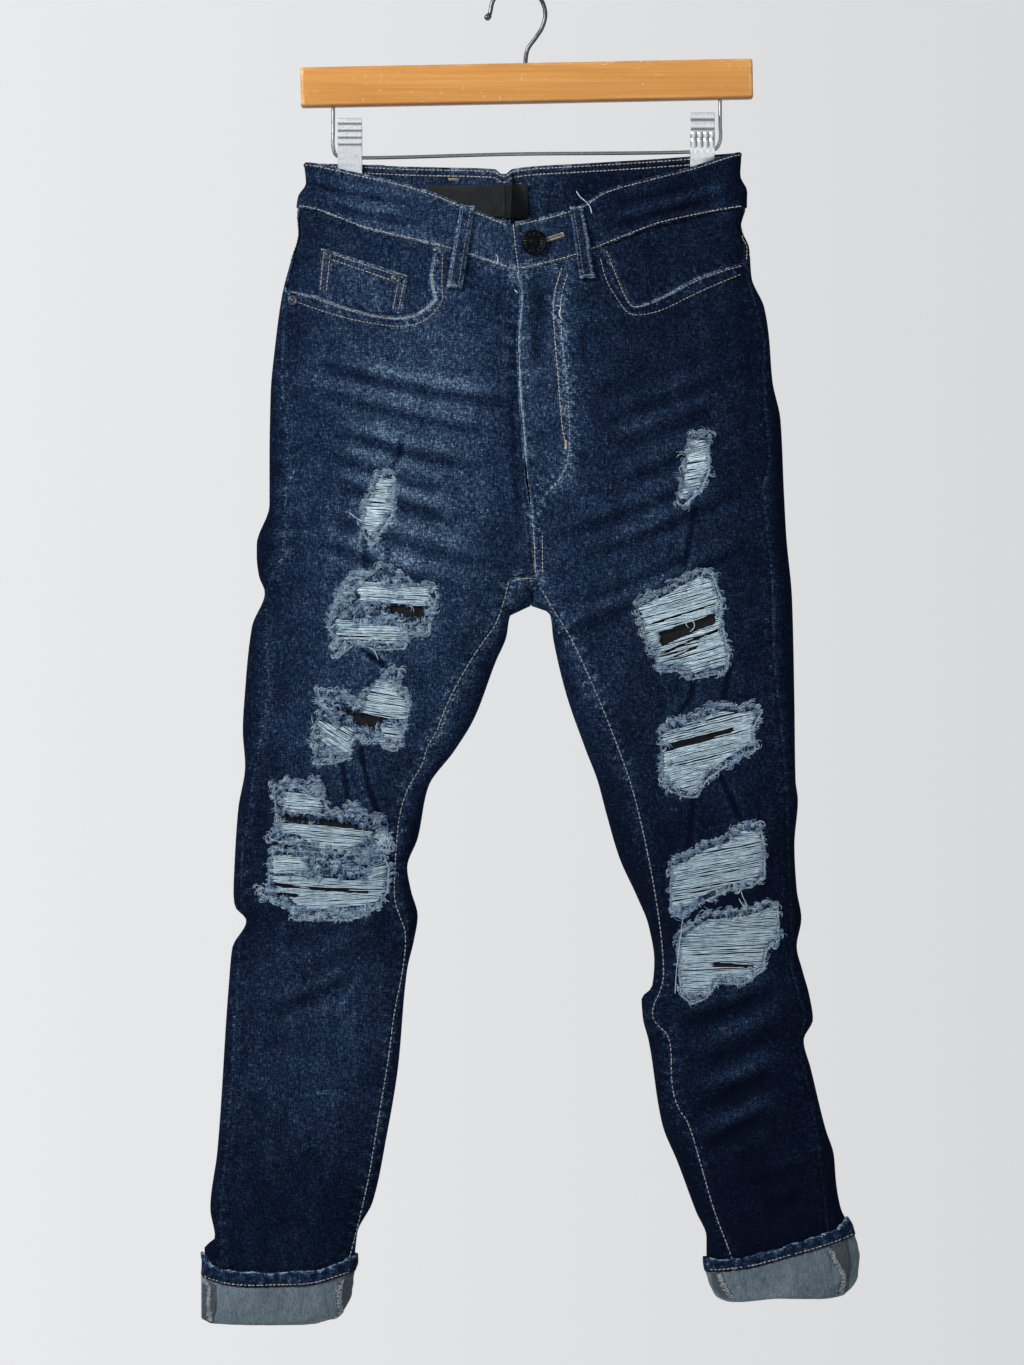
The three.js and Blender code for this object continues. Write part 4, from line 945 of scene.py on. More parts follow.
# ---- Materials -----------------------------------------------------------------------------------
class Look:
    """A material in the making, with short calls for the nodes that the looks below share."""

    def __init__(self, name, roughness=0.9, metallic=0.0, specular=0.25, sheen=0.0):
        self.material = bpy.data.materials.new(name)
        self.material.use_nodes = True
        self.tree = self.material.node_tree
        self.shader = self.tree.nodes["Principled BSDF"]
        self.shader.inputs["Roughness"].default_value = roughness
        self.shader.inputs["Metallic"].default_value = metallic
        self.shader.inputs["Specular IOR Level"].default_value = specular
        self.shader.inputs["Sheen Weight"].default_value = sheen
        self.place = self.add("ShaderNodeTexCoord").outputs["Object"]

    def add(self, kind, sockets=None, **settings):
        node = self.tree.nodes.new(kind)
        for key, value in settings.items():
            setattr(node, key, value)
        for key, value in (sockets or {}).items():
            if isinstance(value, bpy.types.NodeSocket):
                self.tree.links.new(value, node.inputs[key])
            else:
                node.inputs[key].default_value = value
        return node

    def stretched(self, scale, turn=(0, 0, 0)):
        sockets = {"Vector": self.place, "Scale": scale, "Rotation": turn}
        return self.add("ShaderNodeMapping", sockets).outputs[0]

    def noise(self, scale, detail, rough):
        """Noise with `scale` bumps a metre, one number or three."""
        three = scale if isinstance(scale, tuple) else (scale, scale, scale)
        made = self.add("ShaderNodeTexNoise", {
            "Vector": self.stretched(three), "Scale": 1.0, "Detail": detail, "Roughness": rough})
        return made.outputs["Fac"]

    def sums(self, operation, a, b):
        return self.add("ShaderNodeMath", {0: a, 1: b}, operation=operation).outputs[0]

    def weighed(self, *parts):
        """The sum of values, each times its strength."""
        (value, strength), *others = parts
        total = self.sums("MULTIPLY", value, strength)
        for value, strength in others:
            total = self.sums("ADD", total, self.sums("MULTIPLY", value, strength))
        return total

    def swung(self, total, value, strength):
        """A total pushed up and down by a value that swings round a half."""
        return self.sums("ADD", total, self.sums("MULTIPLY", self.sums("SUBTRACT", value, 0.5), strength))

    def scaled(self, value, low, high, to_low=0.0, to_high=1.0):
        made = self.add("ShaderNodeMapRange", {
            "Value": value, "From Min": low, "From Max": high, "To Min": to_low, "To Max": to_high})
        return made.outputs[0]

    def ramp(self, value, stops):
        made = self.add("ShaderNodeValToRGB", {0: value})
        elements = made.color_ramp.elements
        while len(elements) < len(stops):
            elements.new(0.5)
        for element, (position, colour) in zip(elements, stops):
            element.position, element.color = position, (*colour, 1)
        return made.outputs["Color"]

    def mix(self, share, a, b):
        made = self.add("ShaderNodeMix", data_type="RGBA", blend_type="MIX")
        for index, value in ((0, share), (6, a), (7, b)):
            if isinstance(value, bpy.types.NodeSocket):
                self.tree.links.new(value, made.inputs[index])
            elif index:
                made.inputs[index].default_value = (*value, 1)
            else:
                made.inputs[index].default_value = value
        return made.outputs[2]

    def layer(self, name):
        return self.add("ShaderNodeAttribute", attribute_name=name).outputs["Fac"]

    def bump(self, height, distance, strength=1.0):
        made = self.add("ShaderNodeBump", {"Height": height, "Distance": distance, "Strength": strength})
        return made.outputs[0]

    def done(self, colour=None, rough=None, normal=None):
        for key, value in (("Base Color", colour), ("Roughness", rough), ("Normal", normal)):
            if value is None:
                continue
            if isinstance(value, bpy.types.NodeSocket):
                self.tree.links.new(value, self.shader.inputs[key])
            else:
                self.shader.inputs[key].default_value = (*value, 1)
        return self.material


DENIM_STOPS = [
    (0.0, (0.0006, 0.0022, 0.0095)),
    (0.3, (0.0042, 0.0112, 0.0305)),
    (0.5, (0.0135, 0.0290, 0.0640)),
    (0.7, (0.0400, 0.0720, 0.1300)),
    (1.0, (0.2100, 0.2900, 0.3800)),
]
FRAY_STOPS = [(0.3, (0.10, 0.16, 0.24)), (0.7, (0.36, 0.45, 0.52))]


def denim(name):
    """Indigo twill. The wash layer says how faded it is and where painted shade darkens it; worn and fray say
    where it is rubbed and frayed.
    """
    look = Look(name, roughness=0.94, specular=0.06, sheen=0.012)
    grain = look.noise(1000, 2, 0.7)
    warp = look.noise((860, 860, 240), 2, 0.6)
    weft = look.noise((260, 260, 900), 2, 0.6)
    fleck = look.noise(420, 2, 0.6)
    mottle = look.noise(48, 3, 0.6)
    total = look.layer("wash")
    for value, strength in ((grain, 1.15), (warp, 1.0), (weft, 0.85), (fleck, 0.42), (mottle, 0.36)):
        total = look.swung(total, value, strength)
    rub = look.sums("MULTIPLY", look.layer("worn"), look.scaled(weft, 0.35, 0.65, 0.35, 1.25))
    total = look.sums("ADD", total, look.sums("MULTIPLY", rub, 0.5))
    mask = look.scaled(look.swung(look.layer("fray"), weft, 1.2), 0.35, 0.8)
    colour = look.mix(mask, look.ramp(total, DENIM_STOPS), look.ramp(grain, FRAY_STOPS))
    twill = look.add("ShaderNodeTexWave", {
        "Vector": look.stretched((1, 1, 1), (0, math.radians(30), 0)), "Scale": 260.0, "Distortion": 1.2,
        "Detail": 1.0}, bands_direction="X").outputs["Fac"]
    height = look.sums("ADD", look.weighed((twill, 0.35), (warp, 0.6)), grain)
    return look.done(colour, None, look.bump(height, 0.0004, 0.7))


def wrong_side(name, shade=1.0):
    """The pale side of the turned-up legs: undyed weft with blue flecks."""
    look = Look(name, roughness=0.92, specular=0.15, sheen=0.1)
    grain = look.noise(1100, 2, 0.7)
    warp = look.noise((950, 950, 160), 2, 0.6)
    mottle = look.noise(38, 3, 0.6)
    total = look.weighed((grain, 0.8), (warp, 0.5), (mottle, 0.35))
    stops = [(0.58, (0.046, 0.066, 0.084)), (0.80, (0.086, 0.118, 0.141)), (1.0, (0.165, 0.205, 0.23))]
    colour = look.ramp(total, [(at, tuple(c * shade for c in tint)) for at, tint in stops])
    return look.done(colour, None, look.bump(look.sums("ADD", grain, warp), 0.0004, 0.6))


LOWER_TINT_FROM_TO_Z = (-0.46, -0.80)  # metres


def yarn(name, low, high, rough=0.95, lower_tint=None):
    """Loose cotton: colour varies from strand to strand, and may darken towards a second colour down the
    legs.
    """
    look = Look(name, roughness=rough, specular=0.15, sheen=0.15)
    across = look.noise((40, 200, 900), 2, 0.6)
    speck = look.noise(260, 2, 0.6)
    colour = look.ramp(look.weighed((across, 0.6), (speck, 0.4)), [(0.36, low), (0.62, high)])
    if lower_tint:
        place = look.add("ShaderNodeSeparateXYZ", {"Vector": look.stretched((1, 1, 1))})
        colour = look.mix(look.scaled(place.outputs["Z"], *LOWER_TINT_FROM_TO_Z, 0.0, 0.36), colour, lower_tint)
    return look.done(colour, None, look.bump(look.noise(3000, 1, 0.5), 0.0001, 0.4))


def plain_cloth(name, dark, light, pitch=900, rough=0.93):
    """Plain woven cloth: a fine crossed weave over soft unevenness."""
    look = Look(name, roughness=rough, specular=0.2, sheen=0.1)
    warp = look.noise((pitch, pitch, pitch / 8), 1, 0.5)
    weft = look.noise((pitch / 8, pitch / 8, pitch), 1, 0.5)
    soft = look.noise(50, 2, 0.5)
    weave = look.sums("ADD", warp, weft)
    colour = look.ramp(look.weighed((weave, 0.35), (soft, 0.3)), [(0.35, dark), (0.65, light)])
    return look.done(colour, None, look.bump(weave, 0.0003, 0.6))


SCRATCHES = 300.0  # a metre


def metal(name, colour, roughness, wear=0.0, shaded_grooves=False, metallic=1.0):
    """Metal with fine scratches, and rubbed patches where wear is above 0; if asked, painted shade darkens
    the grooves of a finger plate.
    """
    look = Look(name, roughness=roughness, metallic=metallic, specular=0.5)
    fine = look.noise((SCRATCHES * 6, SCRATCHES * 6, SCRATCHES), 2, 0.6)
    blotch = look.noise(SCRATCHES, 3, 0.6)
    rough = look.scaled(look.sums("ADD", fine, blotch), 0.7, 1.3, roughness * 0.7, min(1.0, roughness * 1.5))
    lighter = tuple(min(1.0, c * (1 + 2.5 * wear) + 0.12 * wear) for c in colour)
    shown = look.mix(look.scaled(blotch, 0.45, 0.75), colour, lighter)
    # painted shade in the grooves
    if shaded_grooves:
        shown = look.mix(look.sums("MULTIPLY", look.layer("groove"), 0.85), shown, (0.05, 0.052, 0.058))
    return look.done(shown, rough, look.bump(fine, 0.00005, 0.12))


def honey_wood(name):
    """Varnished beech, orange where the varnish is thick and pale where it is rubbed and chipped, with
    painted shade along its underside.
    """
    look = Look(name, roughness=0.42, specular=0.4)
    look.shader.inputs["Coat Weight"].default_value = 0.25
    look.shader.inputs["Coat Roughness"].default_value = 0.35
    fibre = look.noise((9, 160, 420), 4, 0.6)
    band = look.noise((3, 20, 70), 2, 0.5)
    pore = look.noise((60, 900, 1600), 2, 0.6)
    stops = [(0.3, (0.50, 0.205, 0.036)), (0.5, (0.60, 0.262, 0.055)), (0.72, (0.70, 0.335, 0.085))]
    colour = look.ramp(look.weighed((fibre, 0.5), (band, 0.5)), stops)
    colour = look.mix(look.scaled(pore, 0.62, 0.75, 0.0, 0.35), colour, (0.33, 0.13, 0.035))
    worn = look.layer("worn")
    chips = look.sums("MULTIPLY", look.scaled(look.noise((60, 200, 260), 3, 0.7), 0.62, 0.68), worn)
    rubbed = look.sums("MULTIPLY", look.scaled(look.noise((25, 60, 90), 3, 0.6), 0.42, 0.62), worn)
    colour = look.mix(look.sums("MULTIPLY", rubbed, 0.55), colour, (0.80, 0.50, 0.22))
    colour = look.mix(chips, colour, (0.86, 0.72, 0.52))
    for size, lo in (((60, 300, 640), 0.69), ((300, 300, 110), 0.70), ((150, 300, 260), 0.70)):
        mark = look.scaled(look.noise(size, 3, 0.6), lo, lo + 0.04)
        colour = look.mix(look.sums("MULTIPLY", mark, 0.5), colour, (0.84, 0.58, 0.30))
    # painted shade: the layer low darkens the bar's underside
    colour = look.mix(look.sums("MULTIPLY", look.layer("low"), 0.75), colour, (0.20, 0.075, 0.018))
    dents = look.sums("ADD", fibre, look.sums("MULTIPLY", chips, -1.5))
    return look.done(colour, look.scaled(fibre, 0.3, 0.7, 0.34, 0.55), look.bump(dents, 0.0003, 0.4))


DENIM = denim("denim")
PALE_SIDE = wrong_side("denim_wrong_side")
ALLOWANCE_CLOTH = wrong_side("seam_allowance", shade=0.45)
WHITE_YARN = yarn("bare_weft", (0.27, 0.40, 0.49), (0.73, 0.86, 0.93), lower_tint=(0.12, 0.20, 0.26))
BLUE_YARN = yarn("frayed_warp", (0.045, 0.095, 0.185), (0.30, 0.44, 0.60))
PALE_YARN = yarn("frayed_edge", (0.16, 0.24, 0.33), (0.46, 0.57, 0.65))
CREAM_THREAD = yarn("cream_thread", (0.24, 0.20, 0.165), (0.60, 0.53, 0.45), rough=0.7)
TAN_THREAD = yarn("tan_thread", (0.20, 0.162, 0.125), (0.46, 0.385, 0.30), rough=0.7)
GREY_THREAD = yarn("grey_thread", (0.09, 0.095, 0.105), (0.27, 0.26, 0.25), rough=0.75)
PALE_THREAD = yarn("pale_thread", (0.12, 0.135, 0.15), (0.34, 0.365, 0.39), rough=0.75)
NAVY_THREAD = yarn("navy_thread", (0.004, 0.008, 0.02), (0.03, 0.045, 0.08), rough=0.7)
BLACK_CLOTH = plain_cloth("black_cloth", (0.0035, 0.0035, 0.0045), (0.012, 0.012, 0.014))
LABEL_CLOTH = plain_cloth(
    "label_satin", (0.006, 0.0065, 0.008), (0.018, 0.019, 0.022), pitch=1400, rough=0.55)
BUTTON_METAL = metal("button_black", (0.008, 0.008, 0.010), 0.36, wear=0.05)
RIVET_METAL = metal("rivet_gunmetal", (0.055, 0.065, 0.08), 0.42, wear=0.4)
CLIP_CHROME = metal("clip_chrome", (0.90, 0.92, 0.94), 0.30, wear=0.02, shaded_grooves=True, metallic=0.65)
WIRE_CHROME = metal("wire_chrome", (0.36, 0.37, 0.39), 0.27, wear=0.03)
HOOK_CHROME = metal("hook_chrome", (0.10, 0.104, 0.112), 0.3, wear=0.1)
WOOD = honey_wood("honey_wood")


# ---- Fading and wear -----------------------------------------------------------------------------
# Soft spots where the indigo has gone: (x, z, reach in x, reach in z, amount). An amount below 0 darkens
# instead; those along the legs' edges are painted shade.
FRONT_FADES = [
    (-105, -470, 62, 120, 0.20), (-100, -340, 62, 62, 0.12), (-60, -280, 34, 60, 0.08),
    (30, -330, 26, 90, 0.14), (105, -455, 58, 110, 0.15), (120, -560, 50, 60, 0.06),
    (-150, -600, 55, 70, 0.06), (-165, -880, 45, 75, 0.12), (-190, -950, 45, 60, 0.06),
    (160, -650, 45, 60, 0.02), (180, -900, 40, 60, 0.05), (-222, -500, 26, 210, -0.11),
    (-150, -1040, 70, 50, -0.03), (215, -1020, 70, 80, -0.09), (20, -470, 35, 50, -0.02),
    (-55, -345, 30, 60, 0.09), (-50, -455, 36, 60, 0.08), (-95, -750, 26, 70, -0.10),
    (118, -800, 26, 70, -0.08), (215, -470, 30, 130, -0.04),
]
BACK_FADES = [
    (-110, -400, 70, 110, 0.15), (115, -400, 70, 110, 0.15), (-150, -600, 55, 110, 0.06),
    (155, -600, 55, 110, 0.06), (-185, -950, 55, 110, 0.05), (205, -950, 55, 110, 0.03),
]
# Edges that the wearer's hands have rubbed pale: (run, half width, amount).
FRONT_EDGES = [
    ([[x + 0.6, z] for x, z in FLY[2:]], 1.9, 0.26),
    (POCKET_RIGHT[1:], 2.0, 0.26), (POCKET_LEFT[1:], 2.0, 0.26),
]
# Rubbed tops of the creases at the back: (run, half width, amount).
BACK_STREAKS = [
    ([[-180, -400], [-30, -425]], 9, 0.08), ([[40, -425], [190, -395]], 9, 0.08),
    ([[-235, -800], [-110, -806]], 6, 0.10), ([[255, -945], [150, -925]], 6, 0.10),
]
# Sharp little creases between the rips, where the patches behind are sewn to the cloth; painted shade darkens
# them.
IMPRESSIONS = [
    [[-99, -388], [-101, -402], [-107, -415]], [[-128, -575], [-110, -588]],
    [[-135, -655], [-128, -690], [-118, -715]],
    [[-130.6, -472], [-130.8, -500]], [[-110, -483], [-110, -502]], [[-134, -570], [-114, -583]],
    [[-151, -664], [-145, -702]], [[153, -449], [143, -499]], [[151, -595], [149, -612], [130, -635]],
    [[181, -575], [183, -585], [177, -612]], [[172, -674], [194, -721]], [[151, -697], [147, -743]],
]
WASH_BASE = 0.33  # how faded the cloth is where nothing else fades it
FOLD_WASH_AND_SHADE = 1.15  # strength of the folds' colour: painted shade in the troughs, rubbed paleness on the ridges
RIM_REACH = 14.0


def fade_and_painted_shade(x, z, front):
    """How faded the cloth is, 0 raw indigo and 1 almost white, lowered by painted shade at the legs' edges
    and in fold troughs.
    """
    total = np.full_like(x, WASH_BASE)
    for fx, fz, rx, rz, amount in FRONT_FADES if front else BACK_FADES:
        total += amount * np.exp(-(((x - fx) / rx) ** 2) - ((z - fz) / rz) ** 2)
    # fold troughs darkened with painted shade; fold ridges and the rubbed edges and streaks paler
    folds = [(run, wide, wash) for run, wide, wash, _ in FRONT_FOLDS]
    total += FOLD_WASH_AND_SHADE * crease_sum(x, z, folds + FRONT_EDGES if front else BACK_STREAKS)
    outer, inner = edges_at(leg_at(x, z), z)
    # painted shade: darker along the legs' outer edges and, below the crotch, their inner edges, where the
    # cloth turns from the light
    total -= 0.20 * bell(x - outer, 17) + 0.13 * bell(x - inner, 10) * (z < CROTCH_Z)
    # darker in a band below the knees, towards the cuffs and over the left leg
    total -= 0.16 * smoothstep(-z, 640, 800) * (1 - smoothstep(-z, 800, 860))
    total -= 0.13 * smoothstep(-z, 960, 1060) + 0.14 * smoothstep(x, 30, 90) + 0.09 * smoothstep(-z, 780, 900)
    return total + 0.022 * wavy(x * 1.6, z * 0.45, 26, 31) + 0.02 * wavy(x, z, 60, 32)


def rim_gap(x, z):
    """Distance from the nearest rip's frayed outline, up to RIM_REACH."""
    best = np.full_like(x, RIM_REACH)
    points = np.stack([x, z], axis=1)
    for rip in RIPS:
        ring = looped(rip["edge"])
        near = boxed(points, ring, RIM_REACH)
        if near.any():
            best[near] = np.minimum(best[near], gap_to(points[near], ring))
    return best


def paint_denim(points):
    """The layers that the denim looks read, at points of the cloth in millimetres."""
    x, y, z = points.T
    wash, worn, fray = np.zeros_like(x), np.zeros_like(x), np.zeros_like(x)
    for front in (FRONT, BACK):
        mask = (y < 0) == front
        if not mask.any():
            continue
        px, pz = x[mask], z[mask]
        wash[mask] = fade_and_painted_shade(px, pz, front)
        ridge = np.clip(-seam_sum(px, pz, front), 0, 1)
        rubbed = 0.75 * ridge
        at = np.stack([px, pz], axis=1)
        for run, face_of, _, _ in SEAMS:
            if face_of == front:
                gap = gap_to(at, run)
                rubbed += 0.75 * bell(gap, 1.5)
        if front:
            # painted shade in each small crease, with a paler band beside it
            for run in IMPRESSIONS:
                gap = gap_to(at, run)
                wash[mask] -= 0.40 * bell(gap, 1.9) - 0.12 * bell(gap - 4.2, 2.0)
            # puckers beside the pocket mouths: pale where their ridges rub, and painted shade in their
            # hollows
            for run in MOUTHS + (J_OUTER,):
                gap = gap_to(at, run)
                ripple = np.sin(2 * math.pi * (0.8 * px + 0.6 * pz + 1.6 * np.sin(px / 6)) / 6.8)
                wash[mask] += 0.16 * bell(gap - 5.0, 3.6) * ripple
            gap = rim_gap(px, pz)
            fray[mask] = 0.8 * bell(gap, 1.4) + 0.10 * bell(gap, 5)
            rubbed += 0.12 * bell(gap, 6)
        worn[mask] = rubbed
    return {"wash": wash, "worn": worn, "fray": fray}


# ---- Panels --------------------------------------------------------------------------------------
FOOT_FRONT = [smooth(BAND_FOOT_RIGHT, 0), smooth(BAND_FOOT_LEFT, 0)]
FOOT_BACK = smooth(BACK_BAND_FOOT, 0)
TOP_FRONT = [smooth(BAND_TOP_RIGHT, 0), smooth(BAND_TOP_LEFT, 0)]
TOP_BACK = smooth(BACK_BAND_TOP, 0)
FOOT_YOKE = smooth(YOKE_FOOT, 0)
FOLD_Z = (-1143.0, -1123.0)
SEAM_GAP = 0.15
SLIT, SLIT_TOP_Z = 0.0015, -508.3  # half the width of the cut between the legs, in theta, and its top
MOUTHS = (POCKET_RIGHT, POCKET_LEFT)
INSEAMS = (INSEAM_RIGHT, INSEAM_LEFT)
OUTSEAMS = (OUTSEAM_RIGHT, OUTSEAM_LEFT)


def over_fly(x, z, reach):
    """How far the left front lifts as it laps over the right, most at the fly's edge."""
    return FLY_LIFT * bell(np.maximum(x - FLY_X(z), 0), reach)


def fly_out(x, z):
    return over_fly(x, z, 16) * smoothstep(z, -500, -440)


def raised(leg, theta, z):
    """The fly's lap, and the rims of the rips, which curl up a little."""
    x = loop_x(leg, theta, z)
    front = np.mod(theta, 2) <= 1
    lap = fly_out(x, z)
    curl = 0.5 * bell(rim_gap(x, z), 3.0)
    return np.where(front, (lap if leg == LEFT else 0) + curl, 0)


def front_ring(leg):
    """The outline of a front panel, from its band round by the pocket mouth, the outseam and the inseam."""
    foot, mouth = FOOT_FRONT[leg], MOUTHS[leg]
    corner = mouth[1]
    band = [[x, foot(x) - SEAM_GAP] for x in np.linspace(FLY[2][0], corner[0], 20)]
    end_z = mouth[-1][1]
    end = [float(smooth(OUTSEAMS[leg])(end_z)), end_z]
    side = [p for p in OUTSEAMS[leg] if p[1] < end_z - 1]
    return band + mouth[1:-1] + [end] + side + INSEAMS[leg][::-1][:-1] + FLY[2:][::-1]


def domain(leg, ring, step=2.2):
    """A closed outline in x and z on the front face, in the flat domain."""
    flat = flat_run(leg, looped(ring), FRONT, 0.0, step)[:-1]
    keep = np.linalg.norm(flat - np.roll(flat, 1, axis=0), axis=1) > 0.05
    return flat[keep]


for leg, hand in HANDS:
    holes = [domain(leg, rip["edge"], 1.5) for rip in RIPS if rip["leg"] == leg]
    seams = [flat_run(leg, run) for run in (MOUTHS[leg][1:-1], INSEAMS[leg], FLY[2:])]
    panel(
        "front_panel_" + hand, leg, domain(leg, front_ring(leg)), DENIM, holes,
        step=2.4, fine_runs=seams, fine_step=1.95, lift=raised, paint=paint_denim)


def level_z(leg, theta, height):
    """z where the loop at theta crosses a height that is a function of x."""
    z = np.full(np.shape(theta), float(height(np.array(0.0))))
    for _ in range(8):
        z = height(loop_x(leg, theta, z))
    return z


def back_ring(leg):
    """The outline of a back panel, from the yoke seam round by the outseam and the inseam."""
    out_run = flat_run(leg, [p for p in OUTSEAMS[leg] if p[1] < -236], FRONT, 2.0, 4.0)
    top_end = np.array([[out_run[0, 0], float(FOOT_YOKE(OUTSEAMS[leg][1][0])) - SEAM_GAP]])
    thetas = np.linspace(1 + SLIT, out_run[0, 0] / ARC, 80)
    top = np.stack([thetas * ARC, level_z(leg, thetas, FOOT_YOKE) - SEAM_GAP], axis=1)[:-1]
    out_run = out_run[out_run[:, 1] > FOLD_Z[leg]]
    in_run = flat_run(leg, INSEAMS[leg][1:], FRONT, 0.0, 4.0)
    in_run = in_run[in_run[:, 1] > FOLD_Z[leg]]
    fold = np.stack([np.linspace(out_run[-1, 0], in_run[-1, 0], 110), np.full(110, FOLD_Z[leg])], axis=1)
    before, after = (1 - SLIT) * ARC, (1 + SLIT) * ARC
    slit = np.array([[before, SLIT_TOP_Z], [before, CROTCH_Z + 1.0], [after, CROTCH_Z + 1.0]])
    return np.concatenate([top, top_end, out_run, fold, in_run[::-1], slit])


def yoke_ring(leg):
    """The outline of half the yoke, from the centre back along the band to the outseam."""
    seam = smooth(OUTSEAMS[leg])
    ends = float(theta_at(leg, seam(-192.0), np.array(-192.0), FRONT)) + 2
    foot_z = float(FOOT_YOKE(OUTSEAMS[leg][1][0])) + SEAM_GAP
    thetas = np.linspace(1 + SLIT, ends, 70)
    top = np.stack([thetas * ARC, level_z(leg, thetas, FOOT_BACK) - 0.1], axis=1)
    side = flat_run(leg, [[seam(z), z] for z in np.linspace(-194, foot_z, 12)], FRONT, 2.0, 4.0)
    thetas = np.linspace(side[-1, 0] / ARC, 1 + SLIT, 70)
    foot = np.stack([thetas * ARC, level_z(leg, thetas, FOOT_YOKE) + SEAM_GAP], axis=1)
    return np.concatenate([top, side, foot[1:]])


for leg, hand in HANDS:
    seam_runs = [
        flat_run(leg, INSEAMS[leg]), flat_run(leg, OUTSEAMS[leg], FRONT, 2.0),
        [[ARC, -250], [ARC, -530]],
    ]
    panel(
        "back_panel_" + hand, leg, back_ring(leg), DENIM,
        step=4.4, fine_runs=seam_runs, fine_step=3.2, paint=paint_denim)
    panel("yoke_" + hand, leg, yoke_ring(leg), DENIM, step=3.2, paint=paint_denim)


# ---- Waistband, cuffs and hems: closed profiles carried round the section ------------------------
def carried(name, leg, theta, foot, top, profile, material, ring, add_out=None, paint=None):
    """A wall whose closed profile, (share of height, out), is carried along columns of leg and theta."""
    profile = np.asarray(profile, float)
    share, out = profile[:, 0][:, None], profile[:, 1][:, None]
    low, high = foot[None, :], top[None, :]
    z = low + (high - low) * share
    extra = 0 if add_out is None else add_out(theta[None, :], z)
    points = skin(leg[None, :], theta[None, :], z, out + extra)
    rows, columns = z.shape
    quads = grid_faces(rows + 1, columns, closed=ring) % (rows * columns)
    middle = points.mean(axis=0)
    faces = quads.tolist()
    if not ring:
        faces.append([r * columns for r in range(rows)])
        faces.append([r * columns + columns - 1 for r in reversed(range(rows))])
    flat = points.reshape(-1, 3)
    quad = quads[: len(quads) // 4]
    a, b, c = flat[quad[:, 0]], flat[quad[:, 1]], flat[quad[:, 2]]
    away = ((a + b + c) / 3 - middle[quad[:, 0] % columns])
    if float((np.cross(b - a, c - a) * away).sum()) < 0:
        faces = [f[::-1] for f in faces]
    layers = paint(flat, np.broadcast_to(share, z.shape).reshape(-1)) if paint else None
    return make_mesh(name, flat, faces, material, layers=layers)


def rounded_wall(out, wall, bulge=0.0, rows=9):
    """A closed profile with a round top and foot."""
    shares = np.linspace(0.03, 0.965, rows)
    outer = [(s, out + bulge * math.sin(math.pi * s)) for s in shares]
    top = [(0.99, out - 0.22 * wall), (1.0, out - 0.5 * wall), (0.99, out - 0.78 * wall)]
    inner = [(s, out - wall) for s in shares[::-1]]
    foot = [(0.006, out - 0.8 * wall), (0.0, out - 0.5 * wall), (0.006, out - 0.2 * wall)]
    return outer + top + inner + foot


COLUMNS = 184  # on each of the waistband's four quarters
FLY_GAP = 0.003  # what is left open between the waistband's two ends, in theta


def band_columns():
    """Leg and theta of the waistband's columns, from the fly round by the back to the fly."""
    down_front = np.linspace(1 - FLY_GAP, 0, COLUMNS)
    back_out = np.linspace(2, 1, COLUMNS)[1:]
    leg = np.concatenate([np.full(COLUMNS * 2 - 1, LEFT), np.full(COLUMNS * 2 - 2, RIGHT)])
    theta = np.concatenate([down_front, back_out, back_out[::-1][1:], down_front[::-1]])
    return leg, theta


def band_level(leg, theta, front_heights, back_height):
    """z where each column of the waistband crosses heights that are functions of x."""
    z = np.full(theta.shape, -190.0)
    for _ in range(10):
        x = loop_x(leg, theta, z)
        front = np.where(leg == LEFT, front_heights[LEFT](x), front_heights[RIGHT](x))
        z = np.where(theta <= 1, front, back_height(x))
    return z


def band_lap(theta, z):
    """The waistband's lap over the fly, and its fine unevenness."""
    leg = np.broadcast_to(BAND_LEG[None, :], z.shape)
    x = loop_x(leg, np.broadcast_to(theta, z.shape), z)
    lap = over_fly(x, z, 18)
    return np.where((leg == LEFT) & (theta <= 1), lap, 0) + 0.12 * wavy(x, z, 17, 77)


def paint_band(points, share):
    layers = paint_denim(points)
    edge = bell(1 - share, 0.055) + 0.8 * bell(share, 0.05)
    layers["wash"] = layers["wash"] + 0.10 - 0.12 * smoothstep(points[:, 0], 0, 60)
    layers["worn"] = 0.6 * layers["worn"] + 0.9 * edge * (0.7 + 0.5 * wavy(points[:, 0], points[:, 2], 9, 5))
    return layers


BAND_LEG, BAND_THETA = band_columns()
carried(
    "waistband", BAND_LEG, BAND_THETA,
    band_level(BAND_LEG, BAND_THETA, FOOT_FRONT, FOOT_BACK) + 0.3,
    band_level(BAND_LEG, BAND_THETA, TOP_FRONT, TOP_BACK),
    rounded_wall(BAND_OUT, BAND_WALL, 0.25, 12), DENIM, False, band_lap, paint_band)

CUFF_LINES = [
    (CUFF_FOOT_RIGHT, HEM_FOOT_RIGHT, CUFF_TOP_RIGHT),
    (CUFF_FOOT_LEFT, HEM_FOOT_LEFT, CUFF_TOP_LEFT),
]


def cuff_profile():
    """The turned-up cloth: down outside, round the fold and a little way up inside."""
    half = CUFF_WALL / 2
    mid = CUFF_OUT - half
    turn = (mid + 2.4) / 2
    outer, inner = [], []
    for s in np.linspace(1.0, 0.09, 16):
        outer.append((s, mid + half))
        inner.append((s, mid - half))
    for a in np.linspace(0, math.pi, 9)[1:-1]:
        outer.append((0.075 - 0.075 * math.sin(a), mid - turn + (turn + half) * math.cos(a)))
        inner.append((0.075 - 0.045 * math.sin(a), mid - turn + (turn - half) * math.cos(a)))
    for s in (0.09, 0.15, 0.22):
        outer.append((s, mid - 2 * turn - half))
        inner.append((s, mid - 2 * turn + half))
    return outer + inner[::-1]


